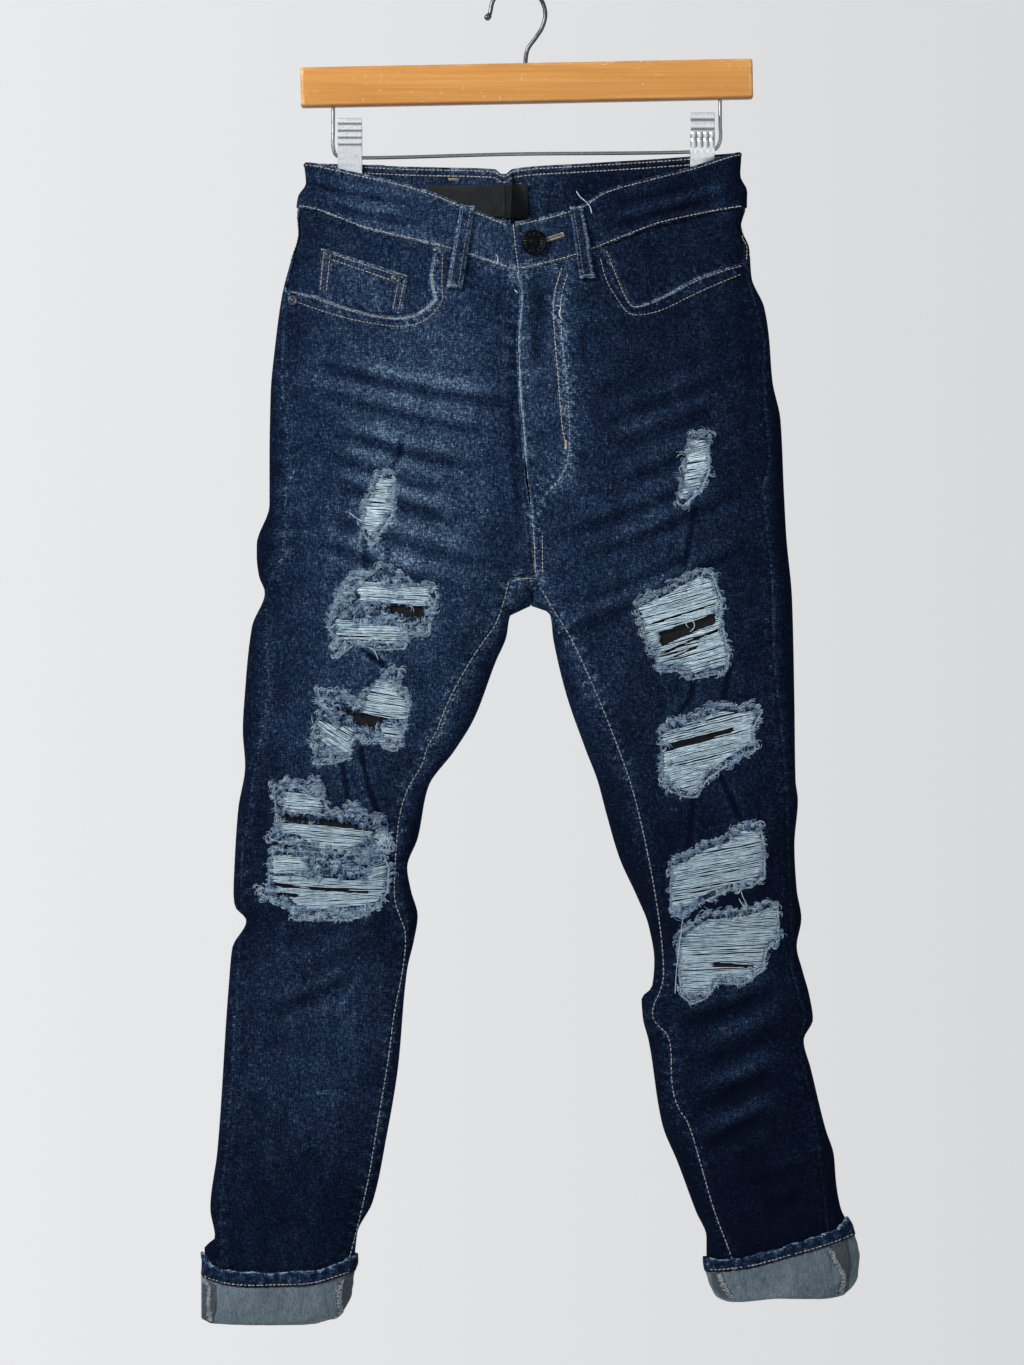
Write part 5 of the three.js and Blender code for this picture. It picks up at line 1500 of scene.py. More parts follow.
def paint_hem(points, share):
    layers = paint_denim(points)
    ripple = wavy(points[:, 0], points[:, 2], 8, 51)
    layers["wash"] = 0.27 + 0.05 * ripple + 0 * layers["wash"]
    top = bell(1 - share, 0.16)
    layers["worn"] = top * (0.95 + 0.35 * ripple) + 0.30 * np.clip(ripple, 0, 2)
    layers["fray"] = 0.42 * bell(1 - share, 0.07) * (0.8 + 0.4 * ripple)
    return layers


for leg, hand in HANDS:
    theta = np.linspace(0, 2, 240, endpoint=False)
    legs = np.full(theta.shape, leg)
    foot, hem, top = (level_z(leg, theta, smooth(line, 0)) for line in CUFF_LINES[leg])
    seed = 60 + leg

    def rumple(t, z, leg=leg, seed=seed):
        x = loop_x(leg, np.broadcast_to(t, z.shape), z)
        return 0.35 * wavy(x * 1.2, z * 0.9, 19, seed) + 0.2 * wavy(x, z, 9, seed + 5)

    def hem_rumple(t, z, leg=leg, seed=seed):
        x = loop_x(leg, np.broadcast_to(t, z.shape), z)
        pucker = np.sin(2 * math.pi * (x + 2.2 * np.sin(x / 11 + seed)) / 7.5 + 0.4 * (z + 1100))
        return rumple(t, z) + 0.32 * pucker

    carried(
        "cuff_" + hand, legs, theta, foot, hem - 0.3, cuff_profile(), PALE_SIDE, True, rumple)
    wavy_top = top + 0.7 * wavy(loop_x(leg, theta, top) + 400 * (theta > 1), top * 0, 12, seed + 9)
    carried(
        "cuff_hem_" + hand, legs, theta, hem, wavy_top,
        rounded_wall(HEM_OUT, HEM_WALL, 0.35, 7), DENIM, True, hem_rumple, paint_hem)


# ---- Pockets, liners, label and belt loops -------------------------------------------------------
FACING_RIGHT = [
    [-201, -181], [-187, -184], [-122, -206], [-64, -222], [-64, -251], [-60, -272], [-72, -287],
    [-90, -295], [-125, -292], [-150, -286], [-200, -270], [-207, -268], [-205, -235],
]
FACING_LEFT = [
    [72, -219], [98, -209], [125, -199], [190, -184], [202, -183], [205, -215], [208, -244],
    [195, -247], [174, -253], [152, -261], [124, -277], [99, -287], [87, -276], [78, -253],
]
BACKING_RIGHT = [
    [-138, -410], [-102, -410], [-103, -488], [-62, -512], [-62, -562], [-86, -585], [-86, -640],
    [-96, -672], [-103, -740], [-103, -785], [-124, -806], [-196, -810], [-230, -780], [-218, -730],
    [-216, -680], [-184, -670], [-182, -600], [-171, -580], [-171, -520], [-140, -490],
]
BACKING_LEFT = [
    [140, -378], [172, -378], [172, -430], [166, -490], [176, -496], [190, -590], [182, -612],
    [216, -610], [212, -700], [222, -716], [220, -775], [232, -790], [232, -825], [216, -852],
    [196, -866], [150, -882], [130, -868], [128, -815], [124, -800], [124, -745], [134, -710],
    [114, -690], [112, -634], [140, -612], [106, -575], [93, -525], [132, -500], [130, -440],
]
FRONT_LOOPS = {
    "belt_loop_front_right": [[-48, -190], [-36, -190], [-47, -262], [-60, -260]],
    "belt_loop_front_left": [[44, -191], [55, -191], [66, -252], [53, -253]],
}
BACK_LOOPS = {
    "belt_loop_back_right": [[-126, -151], [-114, -151], [-114, -214], [-126, -214]],
    "belt_loop_back_centre": [[-14, -158], [-2, -158], [-2, -220], [-14, -220]],
    "belt_loop_back_left": [[104, -147], [116, -147], [116, -211], [104, -211]],
}
LOOP_SETS = ((FRONT, FRONT_LOOPS), (BACK, BACK_LOOPS))
LOOP_LIFT = 0.2


def paint_pocket(points):
    layers = paint_denim(points)
    layers["wash"] = layers["wash"] + 0.12
    layers["fray"] = 0 * layers["fray"]
    return layers


def paint_facing(points):
    layers = paint_denim(points)
    layers["wash"] = layers["wash"] * 0.8 + 0.05
    layers["worn"] = 0.25 * layers["worn"]
    layers["fray"] = 0 * layers["fray"]
    return layers


for hand, ring in (("right", FACING_RIGHT), ("left", FACING_LEFT)):
    patch(
        "pocket_facing_" + hand, ring, FRONT, LINER_OUT, LINER_WALL, DENIM, paint=paint_facing)


def coin_bulge(at):
    edge = gap_to(at, COIN_POCKET[:2])
    return 0.35 * bell(edge - 3, 4)


def paint_coin(points):
    layers = paint_pocket(points)
    flat = points[:, [0, 2]]
    layers["worn"] = 0.8 * bell(gap_to(flat, COIN_POCKET[:2]), 1.6)
    layers["worn"] += 0.5 * bell(gap_to(flat, COIN_POCKET[1:3]), 1.6)
    return layers


COIN_OUT, COIN_WALL = -0.35, 1.2
patch(
    "coin_pocket", COIN_POCKET, FRONT, COIN_OUT, COIN_WALL, DENIM,
    step=2.4, paint=paint_coin, bulge=coin_bulge)
BACK_POCKETS = (("right", BACK_POCKET_RIGHT), ("left", BACK_POCKET_LEFT))
BACK_POCKET_OUT, BACK_POCKET_WALL = 1.6, 1.3
for hand, ring in BACK_POCKETS:
    def paint_back(points, ring=ring):
        layers = paint_pocket(points)
        gap = gap_to(points[:, [0, 2]], looped(ring))
        layers["worn"] = 0.75 * bell(gap, 1.8) + 0.2 * bell(gap - 5, 2)
        return layers

    patch(
        "back_pocket_" + hand, ring, BACK, BACK_POCKET_OUT, BACK_POCKET_WALL, DENIM,
        step=2.8, paint=paint_back)

for hand, ring in (("right", BACKING_RIGHT), ("left", BACKING_LEFT)):
    patch(
        "rip_backing_" + hand, ring, FRONT, PATCH_OUT, PATCH_WALL, BLACK_CLOTH, step=4.5)


def across_loop(points, ring):
    """How far along a belt loop each point is, 0 at the top, and how far off its middle line, -1 to 1."""
    ring = np.asarray(ring, float)
    top, foot = (ring[0] + ring[1]) / 2, (ring[2] + ring[3]) / 2
    way = foot - top
    length = float(np.linalg.norm(way))
    way /= length
    rel = points - top
    half = float(np.linalg.norm(ring[1] - ring[0])) / 2
    return (rel @ way) / length, (rel @ np.array([-way[1], way[0]])) / half


def loop_bulge(ring):
    def bulge(at):
        along, off = across_loop(at, ring)
        rolled = 0.35 * bell(np.abs(off) - 0.72, 0.22) - 0.12 * bell(off, 0.3)
        sag = 1.1 * np.clip(np.sin(math.pi * np.clip((along - 0.08) / 0.8, 0, 1)), 0, 1)
        step = 0.5 * bell(along - 0.06, 0.05) + 0.4 * bell(along - 0.95, 0.05)
        return LOOP_LIFT + rolled + sag + step
    return bulge


def paint_loop(ring):
    def paint(points):
        along, off = across_loop(points[:, [0, 2]], ring)
        edge = bell(np.abs(off) - 1, 0.22)
        tips = bell(along, 0.04) + bell(along - 1, 0.05)
        wash = 0.44 - 0.08 * smoothstep(points[:, 0], -20, 40) + 0 * along
        return {"wash": wash, "worn": 0.85 * edge + 0.8 * tips, "fray": 0.25 * tips}
    return paint


for front, loops in LOOP_SETS:
    for name, ring in loops.items():
        patch(
            name, ring, front, LOOP_OUT, LOOP_WALL, DENIM, step=1.7,
            paint=paint_loop(ring), bulge=loop_bulge(ring))

LABEL_OUT, LABEL_WALL = BAND_OUT - BAND_WALL - 0.3, 0.7
patch("label", LABEL, BACK, LABEL_OUT, LABEL_WALL, LABEL_CLOTH, step=2.5)
LABEL_TAB = [[-12, -167], [9.5, -167.5], [9.5, -197.5], [-12, -197]]
patch(
    "label_tab", LABEL_TAB, BACK, LABEL_OUT - 0.8, 0.8, LABEL_CLOTH, step=2.2,
    bulge=lambda at: -0.6 * bell(at[:, 0] + 12, 2.5))


# ---- Bare threads, fringe and loose ends ---------------------------------------------------------
WEFT_PITCH = 0.70  # between one bare thread and the next
TUFT = 5.0  # height of the tufts along a rip's top and foot
LOCK = 5  # threads that curl together
CURL_POINTS = 5
GROUND_OUT, GROUND_WALL = -0.5, 0.6
TUFT_DENSITY, PALE_DENSITY = 0.055, 0.022  # places where tufts grow, a square millimetre


def bare_zone(rip, at):
    """Whether bare threads fill each point of a rip that its ladders don't say."""
    ring = rip["edge"]
    return inside(at, ring) & inside(at + [0, TUFT], ring) & inside(at - [0, TUFT], ring)


def weft_rows(rip, zone, tilt, rng, groups):
    """Rows of bare threads in a zone, added to groups by their number of points."""
    corners = np.asarray(zone if zone is not None else rip["edge"], float)
    way = np.array([1.0, tilt]) / math.hypot(1, tilt)
    across = np.array([-way[1], way[0]])
    centre = corners.mean(axis=0)
    u, v = (corners - centre) @ way, (corners - centre) @ across
    marks = np.arange(u.min() - 3, u.max() + 3, 1.0)
    rows = np.arange(v.min() + 0.3, v.max() - 0.2, WEFT_PITCH)
    rows = rows + 0.13 * np.sin(rows * 2 * math.pi / rng.uniform(3.4, 5.6) + rng.uniform(0, 6))
    rows += rng.normal(0, 0.07, len(rows))
    for row in rows:
        if rng.random() < rip.get("thin", 0.03):
            continue
        at = centre + marks[:, None] * way + row * across
        worn = np.zeros(len(at), bool)
        for slot in rip["slots"]:
            worn |= inside(at, slot)
        whole = bare_zone(rip, at) if zone is None else inside(at, corners)
        bare = whole & ~worn
        turns = np.flatnonzero(np.diff(np.concatenate([[0], bare.astype(int), [0]])))
        for first, last in zip(turns[::2], turns[1::2]):
            if last - first < 3:
                continue
            a, b = marks[first], marks[last - 1]
            cut_a = first > 0 and whole[first - 1]
            cut_b = last < len(marks) and whole[last]
            a += rng.uniform(-0.5, 1.5) if cut_a else rng.uniform(-4.0, -1.5)
            b += rng.uniform(-1.5, 0.5) if cut_b else rng.uniform(1.5, 4.0)
            if b - a < 2.5:
                continue
            count = int(np.clip((b - a) / 3.2, 4, 24))
            t = np.linspace(0, 1, count)
            bow = 4 * t * (1 - t)
            wave = 0.22 * np.sin(t * (b - a) / rng.uniform(2.2, 5.5) + rng.uniform(0, 6))
            wave += rng.normal(0, 0.5) * (t - 0.5)
            loose = rng.random() < 0.05
            spot = centre + (a + (b - a) * t)[:, None] * way + (row + wave)[:, None] * across
            spot[:, 1] += rng.normal(-0.1, 0.22) * bow - (rng.uniform(0.8, 2.6) * bow if loose else 0)
            out = -0.35 + rng.normal(0, 0.14) + 0.12 * np.sin(t * (b - a) / 1.7 + rng.uniform(0, 6))
            under = bell(t * (b - a), 1.8) * (not cut_a)
            under = under + bell((1 - t) * (b - a), 1.8) * (not cut_b)
            out = out - 0.7 * under + (0.8 * bow if loose else 0)
            groups.setdefault(count, []).append(face(spot[:, 0], spot[:, 1], out))


def curls(at, rng, length, lean, height):
    """Short curled ends that start at points of the cloth and turn either way from their lean."""
    locks = len(at)
    heading = np.repeat(lean + rng.normal(0, 0.55, locks), LOCK)
    bend = np.repeat(rng.normal(0, 0.4, locks) + rng.choice([-1.0, 1.0], locks) * 1.7, LOCK)
    size = np.repeat(length * rng.uniform(0.6, 1.3, locks), LOCK)
    at = np.repeat(at, LOCK, axis=0)
    total = len(at)
    at = at + rng.normal(0, 0.55, at.shape)
    heading, bend = heading + rng.normal(0, 0.22, total), bend + rng.normal(0, 0.3, total)
    size = size * rng.uniform(0.75, 1.15, total)
    t = np.linspace(0, 1, CURL_POINTS)
    angle = heading[:, None] + bend[:, None] * t * 1.7
    step = size[:, None] / (CURL_POINTS - 1)
    x = at[:, 0:1] + np.cumsum(np.cos(angle) * step, axis=1)
    z = at[:, 1:2] + np.cumsum(np.sin(angle) * step, axis=1)
    lift = -0.3 + height * rng.uniform(0.35, 1.1, (total, 1)) * np.sin(math.pi * (0.12 + 0.8 * t))[None, :]
    return face(x.reshape(-1), z.reshape(-1), lift.reshape(-1)).reshape(total, CURL_POINTS, 3)


def curl_bundle(rip, at, rng, length, thin, thick, height=1.4):
    """Curled ends at points of a rip, and their radii from thin to thick."""
    ends = curls(at, rng, length, outward(rip, at), height)
    return ends, rng.uniform(thin, thick, LOCK * len(at))


def tuft_points(rip, rng, density):
    """Random points where tufts grow: the rip's rim, top and foot, and all that its ladders leave."""
    ring = np.asarray(rip["edge"], float)
    lo, hi = ring.min(0) - 2, ring.max(0) + 2
    at = rng.uniform(lo, hi, (int(np.prod(hi - lo) * density), 2))
    within = inside(at, ring)
    gap = gap_to(at, looped(ring))
    keep = (within & ~open_zone(rip, at)) | ((gap < 1.2) & (rng.random(len(at)) < 0.6))
    return at[keep]


def torn(at):
    """Points moved a little, so that what is tested at them has a ragged edge."""
    x, z = at[:, 0], at[:, 1]
    by_x = 1.3 * np.sin(z * 1.9) + 0.8 * np.sin(z * 4.3 + x * 0.3)
    by_z = 0.8 * np.sin(x * 0.45) + 0.9 * np.sin(x * 1.3 + z)
    return at + np.stack([by_x, by_z], axis=1)


def open_zone(rip, at):
    """Whether each point lies where the blue warp has gone: in bare threads or a slot."""
    at = torn(at)
    if "ladders" in rip:
        bare = np.zeros(len(at), bool)
        for zone, _ in rip["ladders"]:
            bare |= inside(at, zone)
    else:
        bare = bare_zone(rip, at)
    for slot in rip["slots"]:
        bare |= inside(at, slot)
    return bare


def outward(rip, at):
    """The heading of the tufts at each point: up along the top of a rip, down along its foot."""
    ring = np.asarray(rip["edge"], float)
    up, down = (
        np.array([~inside(at + [0, side * reach], ring) for reach in (4, 8, 14, 22, 34, 50)]).argmax(axis=0)
        for side in (1, -1))
    tilt = np.arctan(rip["tilt"])
    return np.where(up <= down, math.pi / 2, -math.pi / 2) + tilt


# Threads that hang or curl free, as [x, z] and how far they stand off.
LOOSE_ENDS = [
    ([[142.7, -800], [141, -815], [139.2, -833], [137, -850], [135.8, -866]], 1.0),
    ([[191.8, -777.4], [193, -783], [196, -788], [197, -793], [193, -790], [190, -784]], 1.4),
    ([[-122.8, -570.5], [-121, -575], [-119.4, -579.5]], 0.8),
    ([[147, -551.6], [144, -549], [146, -545], [151, -546], [152, -551], [148, -555]], 1.2),
    ([[-124, -462], [-134, -460], [-144.4, -452.4]], 0.8),
]
KNOT = ([-115.5, -733.5], 8.0)  # the tangle at the right end of the shin rip


def knot_threads(seed):
    """Threads tangled round the knot's middle."""
    rng = np.random.default_rng(seed)
    found = []
    for _ in range(34):
        angle = rng.uniform(0, 2 * math.pi) + np.cumsum(rng.normal(0.35, 0.5, 12))
        steps = np.stack([np.cos(angle), np.sin(angle)], axis=1) * rng.uniform(0.8, 1.5)
        run = np.cumsum(steps, axis=0)
        run = KNOT[0] + (run - run.mean(axis=0)) + rng.normal(0, KNOT[1] * 0.3, 2) * [1.0, 1.15]
        found.append(face(run[:, 0], run[:, 1], rng.uniform(0.1, 2.0) + 0.4 * np.sin(angle)))
    return np.array(found)


def frayed_ground(leg, hand):
    """What is left of the cloth inside the rips' outlines, under their tufts."""
    outers, inners, faces, start = [], [], [], 0
    for rip in RIPS:
        if rip["leg"] != leg:
            continue
        at, tri = triangulated(np.asarray(rip["edge"], float), (), 1.5)
        tri = tri[~open_zone(rip, at[tri].mean(axis=1))]
        used, tri = np.unique(tri, return_inverse=True)
        at, tri = at[used], tri.reshape(-1, 3)
        outer = face(at[:, 0], at[:, 1], GROUND_OUT)
        outers.append(outer)
        inners.append(face(at[:, 0], at[:, 1], GROUND_OUT - GROUND_WALL))
        faces.append(wound_out(outer, tri, axis_of) + start)
        start += len(at)
    points, faces = shell(np.concatenate(outers), np.concatenate(inners), np.concatenate(faces))
    x, z = points[:, 0], points[:, 2]
    layers = {"wash": 0.50 + 0.10 * wavy(x, z, 7, 88), "worn": 0 * x, "fray": 0.26 + 0.22 * wavy(x, z, 5, 89)}
    return make_mesh("frayed_ground_" + hand, points, faces, DENIM, layers=layers)


for leg, hand in HANDS:
    weft, blue_curls, pale_curls, rim_ends = [], [], [], []
    for number, rip in enumerate(RIPS):
        if rip["leg"] != leg:
            continue
        rng = np.random.default_rng(900 + number)
        groups = {}
        for zone, tilt in rip.get("ladders", [(None, rip["tilt"])]):
            weft_rows(rip, zone, tilt, rng, groups)
        for threads in groups.values():
            weft.append((np.array(threads), rng.uniform(0.29, 0.38, len(threads))))
        at = tuft_points(rip, rng, TUFT_DENSITY)
        blue_curls.append(curl_bundle(rip, at, rng, 7.0, 0.24, 0.40))
        at = tuft_points(rip, rng, PALE_DENSITY)
        pale_curls.append(curl_bundle(rip, at, rng, 7.5, 0.20, 0.34, 2.0))
        at = spaced(looped(rip["edge"]), 3.6)
        rim_ends.append(curl_bundle(rip, at, rng, 5.5, 0.15, 0.26, 1.3))
    for run, stand in LOOSE_ENDS:
        if (run[0][0] > 0) == (leg == LEFT):
            path = spaced(rounded_run(run), 1.5)
            lift = 0.5 + stand * np.sin(np.linspace(0.2, math.pi, len(path)))
            weft.append((face(path[:, 0], path[:, 1], lift)[None], 0.32))
    if leg == RIGHT:
        weft.append((knot_threads(7), 0.27))
    frayed_ground(leg, hand)
    strands("bare_weft_" + hand, weft, WHITE_YARN)
    strands("tufts_" + hand, blue_curls, BLUE_YARN, 3)
    strands("pale_tufts_" + hand, pale_curls + rim_ends, PALE_YARN, 3)


# ---- Stitch rows ---------------------------------------------------------------------------------
def lowered(run, by):
    return [[x, z - by] for x, z in run]


def between(run, lo, hi):
    """The part of a left-to-right run with x from lo to hi."""
    height = smooth(run, 0)
    return [[x, float(height(x))] for x in np.linspace(lo, hi, max(4, int(abs(hi - lo) / 4)))]


def band_out(x, z):
    return BAND_OUT + 0.15 + np.where(x > FLY_X(z), over_fly(x, z, 18), 0)


def row(run, out=0.0, seed=0, **more):
    return dict(run=[list(map(float, p)) for p in run], out=out, seed=seed, **more)


def back_row(run, out, seed):
    return row(run, out, seed, front=BACK)


def bartack(a, b, out, seed, front=FRONT, width=2.6):
    """A short bar of close zigzag stitches."""
    return dict(
        run=[list(a), list(b)], out=out, front=front, pitch=0.75, length=0.7, width=width, high=0.75,
        seed=seed)


def chain(run, out, seed):
    """A heavy row, as on the inseams."""
    return row(run, out, seed, pitch=4.0, length=3.1, width=1.05, high=0.7)


mouth_inner_right = shifted(POCKET_RIGHT[1:-1] + [[-196, -260]], 1.9)
mouth_outer_right = [
    [-64, -231], [-65, -260], [-63, -270], [-72, -283], [-83, -291], [-101, -294], [-124, -291],
    [-147, -286], [-170, -279], [-196, -269]]
mouth_inner_left = shifted(POCKET_LEFT[1:-1], -1.9)
mouth_outer_left = [
    [71, -235], [76, -255], [88, -274], [95, -283], [105, -284], [124, -280], [152, -265], [193, -247]]
pocket_rows = [
    row(mouth_inner_right, seed=1), row(mouth_outer_right, seed=2),
    row(mouth_inner_left, seed=3), row(mouth_outer_left, seed=4),
    row([[-166, -228], [-97, -252]], 0.1, 5), row([[-165, -233.5], [-98, -257.5]], 0.0, 6),
    row([[-96.5, -253], [-102, -280]], 0, 7), row([[-102, -256], [-107, -280]], 0, 8),
    row([[-166.5, -229], [-169.5, -264]], 0, 9), row([[-161, -233], [-164, -264]], 0, 10),
]
top_right = between(BAND_TOP_RIGHT, -182, -9)
top_left = between(BAND_TOP_LEFT, -2, 191)
foot_right = between(BAND_FOOT_RIGHT, -188, -4)
foot_left = between(BAND_FOOT_LEFT, 3, 193)
fly_edge = [[x + 2.6, z] for x, z in FLY if z > -500]
band_rows = [
    row(lowered(top_right, 2.4), band_out, 11), row(lowered(top_left, 2.4), band_out, 12),
    row(lowered(foot_right, -2.2), band_out, 13), row(lowered(foot_left, -2.2), band_out, 14),
    row([[x + 2.4, z] for x, z in FLY[:3]], band_out, 15),
    bartack([41.5, -398.5], [41.5, -391], 0.0, 16), bartack([10, -427], [18, -429.5], 0.3, 17),
    row(J_INNER, 0.1, 19), row(J_OUTER, 0.1, 20),
    row([[13.8, -455], [14.6, -480], [15.5, -504]], 0.1, 21),
    row([[21, -455], [21.4, -480], [21.6, -505]], 0.1, 22),
    row([[0, -509.5], [8, -509], [16, -509]], 0.0, 23),
]
inside_top = between(BACK_BAND_TOP, -180, 188)
LINING_OUT = BAND_OUT - BAND_WALL
lining = dict(front=BACK, inside_out=True, out=LINING_OUT)
band_rows += [
    dict(run=lowered(inside_top, down), seed=seed, width=1.1, high=0.65, **lining)
    for down, seed in ((2.6, 24), (7.5, 25))]
inside_tacks = [
    dict(run=run, pitch=0.8, length=0.75, width=2.6, high=0.8, seed=seed, **lining)
    for run, seed in (([[-60, -163], [-51, -163]], 26), ([[-6, -168.5], [4, -167]], 27))]
back_top = between(BACK_BAND_TOP, -188, 196)
back_foot = between(BACK_BAND_FOOT, -190, 196)
yoke_line = between(YOKE_FOOT, -188, 194)
seat, seat_outer = (
    [[MIDDLE(z) + aside, z] for z in np.linspace(-204, -524, 60)] for aside in (2.2, 8.0))
back_rows = [
    back_row(lowered(back_top, 2.4), BAND_OUT + 0.1, 31),
    back_row(lowered(back_foot, -2.2), BAND_OUT + 0.1, 32),
    back_row(lowered(yoke_line, 2.2), 0, 33), back_row(lowered(yoke_line, 8.2), 0, 34),
    back_row(seat, 0, 35), back_row(seat_outer, 0, 36),
]
for number, (_, ring) in enumerate(BACK_POCKETS):
    pocket_run = np.asarray(ring[1:] + ring[:1], float)
    inward = unit(np.mean(ring, axis=0) - pocket_run)
    for inset in (2.2, 7.6):
        pulled = pocket_run + inward * inset * 1.3
        back_rows.append(back_row(spaced(pulled, 4.0), BACK_POCKET_OUT, 40 + number))
    top_a, top_b = np.asarray(ring[0], float), np.asarray(ring[1], float)
    for drop in (3, 15):
        across_top = [top_a + [3, -drop], top_b + [-3, -drop]]
        back_rows.append(back_row(across_top, BACK_POCKET_OUT, 44 + number))
    for at in (top_a + [4, -5], top_b + [-4, -5]):
        back_rows.append(bartack(at, at + [0, -8], 1.7, 48 + number, BACK))

loop_rows = []
for front, loops in LOOP_SETS:
    for number, (name, ring) in enumerate(loops.items()):
        ring = np.asarray(ring, float)
        bulge = loop_bulge(ring)
        for share in (0.24, 0.76):
            top = ring[0] + (ring[1] - ring[0]) * share
            foot = ring[3] + (ring[2] - ring[3]) * share
            run = spaced([top + (foot - top) * 0.03, top + (foot - top) * 0.95], 3.0)
            lift = lambda x, z, ring=ring, bulge=bulge: LOOP_OUT + bulge(np.stack([x, z], axis=1)) - 0.05
            loop_rows.append(dict(
                run=run, out=lift, front=front, seed=60 + number, width=0.75, pitch=3.0, length=2.3))
        side = (ring[2] - ring[3]) * 0.12
        up = unit(ring[0] - ring[3]) * 2.6
        tack_from, tack_to = ring[3] + side + up, ring[2] - side + up
        loop_rows.append(bartack(tack_from, tack_to, LOOP_OUT + 0.5, 70 + number, front, 1.3))

SIDE_ROWS = [
    row([[200, -205], [192, -214], [198, -222], [197, -236]], 0.2, 80, width=0.8),
    row([[-190, -196], [-196, -240]], 0.1, 81, width=0.7),
]
inseam_rows = [
    chain(shifted(INSEAM_RIGHT[2:], -1.6), 0.25, 90), chain(shifted(INSEAM_LEFT[1:], 1.6), 0.25, 91)]
hem_rows = []
for number, (line, lo, hi) in enumerate(((HEM_FOOT_RIGHT, -267, -146), (HEM_FOOT_LEFT, 168, 286))):
    for front in (FRONT, BACK):
        run = [[x, z + 2.0] for x, z in between(line, lo, hi)]
        hem_rows.append(row(
            run, HEM_OUT + 0.25, 95 + number, front=front, pitch=3.4, length=2.8, width=1.0, high=0.6))

stitches("stitches_pockets", pocket_rows + SIDE_ROWS, TAN_THREAD)
stitches("stitches_waist_and_fly", band_rows, CREAM_THREAD)
fly_row = row([[FLY[3][0] + 2.6, -262]] + fly_edge[4:], fly_out, 18)
stitches("stitches_fly_edge", [fly_row], NAVY_THREAD)
stitches("bartacks_inside_waist", inside_tacks, TAN_THREAD)
stitches("stitches_back", back_rows, TAN_THREAD)
stitches("stitches_belt_loops", loop_rows, GREY_THREAD)
stitches("stitches_inseams", inseam_rows, PALE_THREAD)
stitches("stitches_hems", hem_rows, TAN_THREAD)
BUTTONHOLE = [[24, -219.5], [31, -217.5], [38.5, -214.8]]
buttonhole_rows = [
    dict(
        run=shifted(BUTTONHOLE, side * 1.15), out=band_out, pitch=0.8, length=0.72, width=2.1, high=0.9,
        seed=85 + side)
    for side in (-1, 1)]
buttonhole_rows.append(bartack([38.2, -213], [39.6, -216.8], BAND_OUT + 0.3, 88, width=2.0))
stitches("buttonhole", buttonhole_rows, TAN_THREAD)

CUT_ENDS = [  # ends of sewing thread left hanging at the waist, as [x, z], and how far out they lie
    ([[49, -178], [52, -183], [56, -186], [60.5, -190.5], [62, -197]], 4.6),
    ([[33.2, -275.7], [37.8, -276.8], [34.5, -283], [38.8, -288.5]], 1.3),
    ([[-2.6, -262.2], [0.2, -265]], 2.0),
    ([[-18.6, -232], [-16.0, -235.5], [-17.9, -240.5]], 2.1),
]
cut_ends = []
for run, out in CUT_ENDS:
    path = spaced(rounded_run(run), 1.2)
    cut_ends.append((face(path[:, 0], path[:, 1], np.full(len(path), out))[None], 0.38))
strands("loose_threads", cut_ends, WHITE_YARN)


# ---- Overlocked seam allowances, which show on the turned-up cuffs -------------------------------
STRIPS = [  # outline on the front of a cuff, and the run of its loose edge
    ([[-270, -1110], [-257.5, -1117], [-256.5, -1130], [-259.5, -1149.5], [-271, -1146.5]],
     [[-268, -1112], [-262, -1119], [-264, -1133], [-262, -1147]]),
    ([[-157, -1113], [-144, -1106.5], [-146, -1134], [-158, -1147], [-156, -1130]],
     [[-154, -1113], [-156, -1124], [-155, -1138], [-156, -1146]]),
    ([[263, -1082.5], [281, -1075.5], [285, -1100], [282, -1123], [273, -1125], [276, -1108], [268, -1094]],
     [[266, -1085], [273, -1099], [279, -1110], [276, -1123]]),
    ([[169, -1107], [178, -1105.5], [180, -1118], [187, -1128.5], [178, -1128], [171, -1120]],
     [[176, -1107], [179, -1117], [186, -1127]]),
]
ALLOWANCE_OUT, ALLOWANCE_WALL = CUFF_OUT + 0.75, 0.5
strip_ends = []
for number, (ring, edge) in enumerate(STRIPS):
    side = "right" if ring[0][0] < 0 else "left"
    name = f"seam_allowance_{side}_{number % 2 + 1}"
    patch(name, ring, FRONT, ALLOWANCE_OUT, ALLOWANCE_WALL, ALLOWANCE_CLOTH, step=1.8)
    rng = np.random.default_rng(300 + number)
    path = spaced(rounded_run(edge), 1.3)
    for shift, amount in ((0.0, 1.0), (0.6, 0.8)):
        at = path + rng.normal(0, 0.35, path.shape) + [shift, 0]
        strip_ends.append((at, rng, amount))
loops = []
for at, rng, amount in strip_ends:
    t = np.linspace(0, 1, 6)
    swing = 3.6 * amount * rng.uniform(0.7, 1.25, (len(at), 1))
    x = at[:, 0:1] + swing * (t - 0.5)[None, :]
    z = at[:, 1:2] + 1.5 * np.sin(t * math.pi * 1.3)[None, :] * rng.choice([-1, 1], (len(at), 1))
    lift = CUFF_OUT + 0.9 + 0.35 * np.sin(math.pi * t)[None, :] * rng.uniform(0.6, 1.4, (len(at), 1))
    loops.append((face(x.reshape(-1), z.reshape(-1), lift.reshape(-1)).reshape(len(at), 6, 3), 0.36))
strands("overlock_threads", loops, PALE_THREAD)


# ---- Button and rivets ---------------------------------------------------------------------------
def stood_on(x, z, out, reach):
    """The nearest depth of the front cloth under a stud, as the CAD stud stands."""
    angle = np.arange(8) * math.pi / 4
    return float(face(x + reach * np.cos(angle), z + reach * np.sin(angle), out)[:, 1].min())


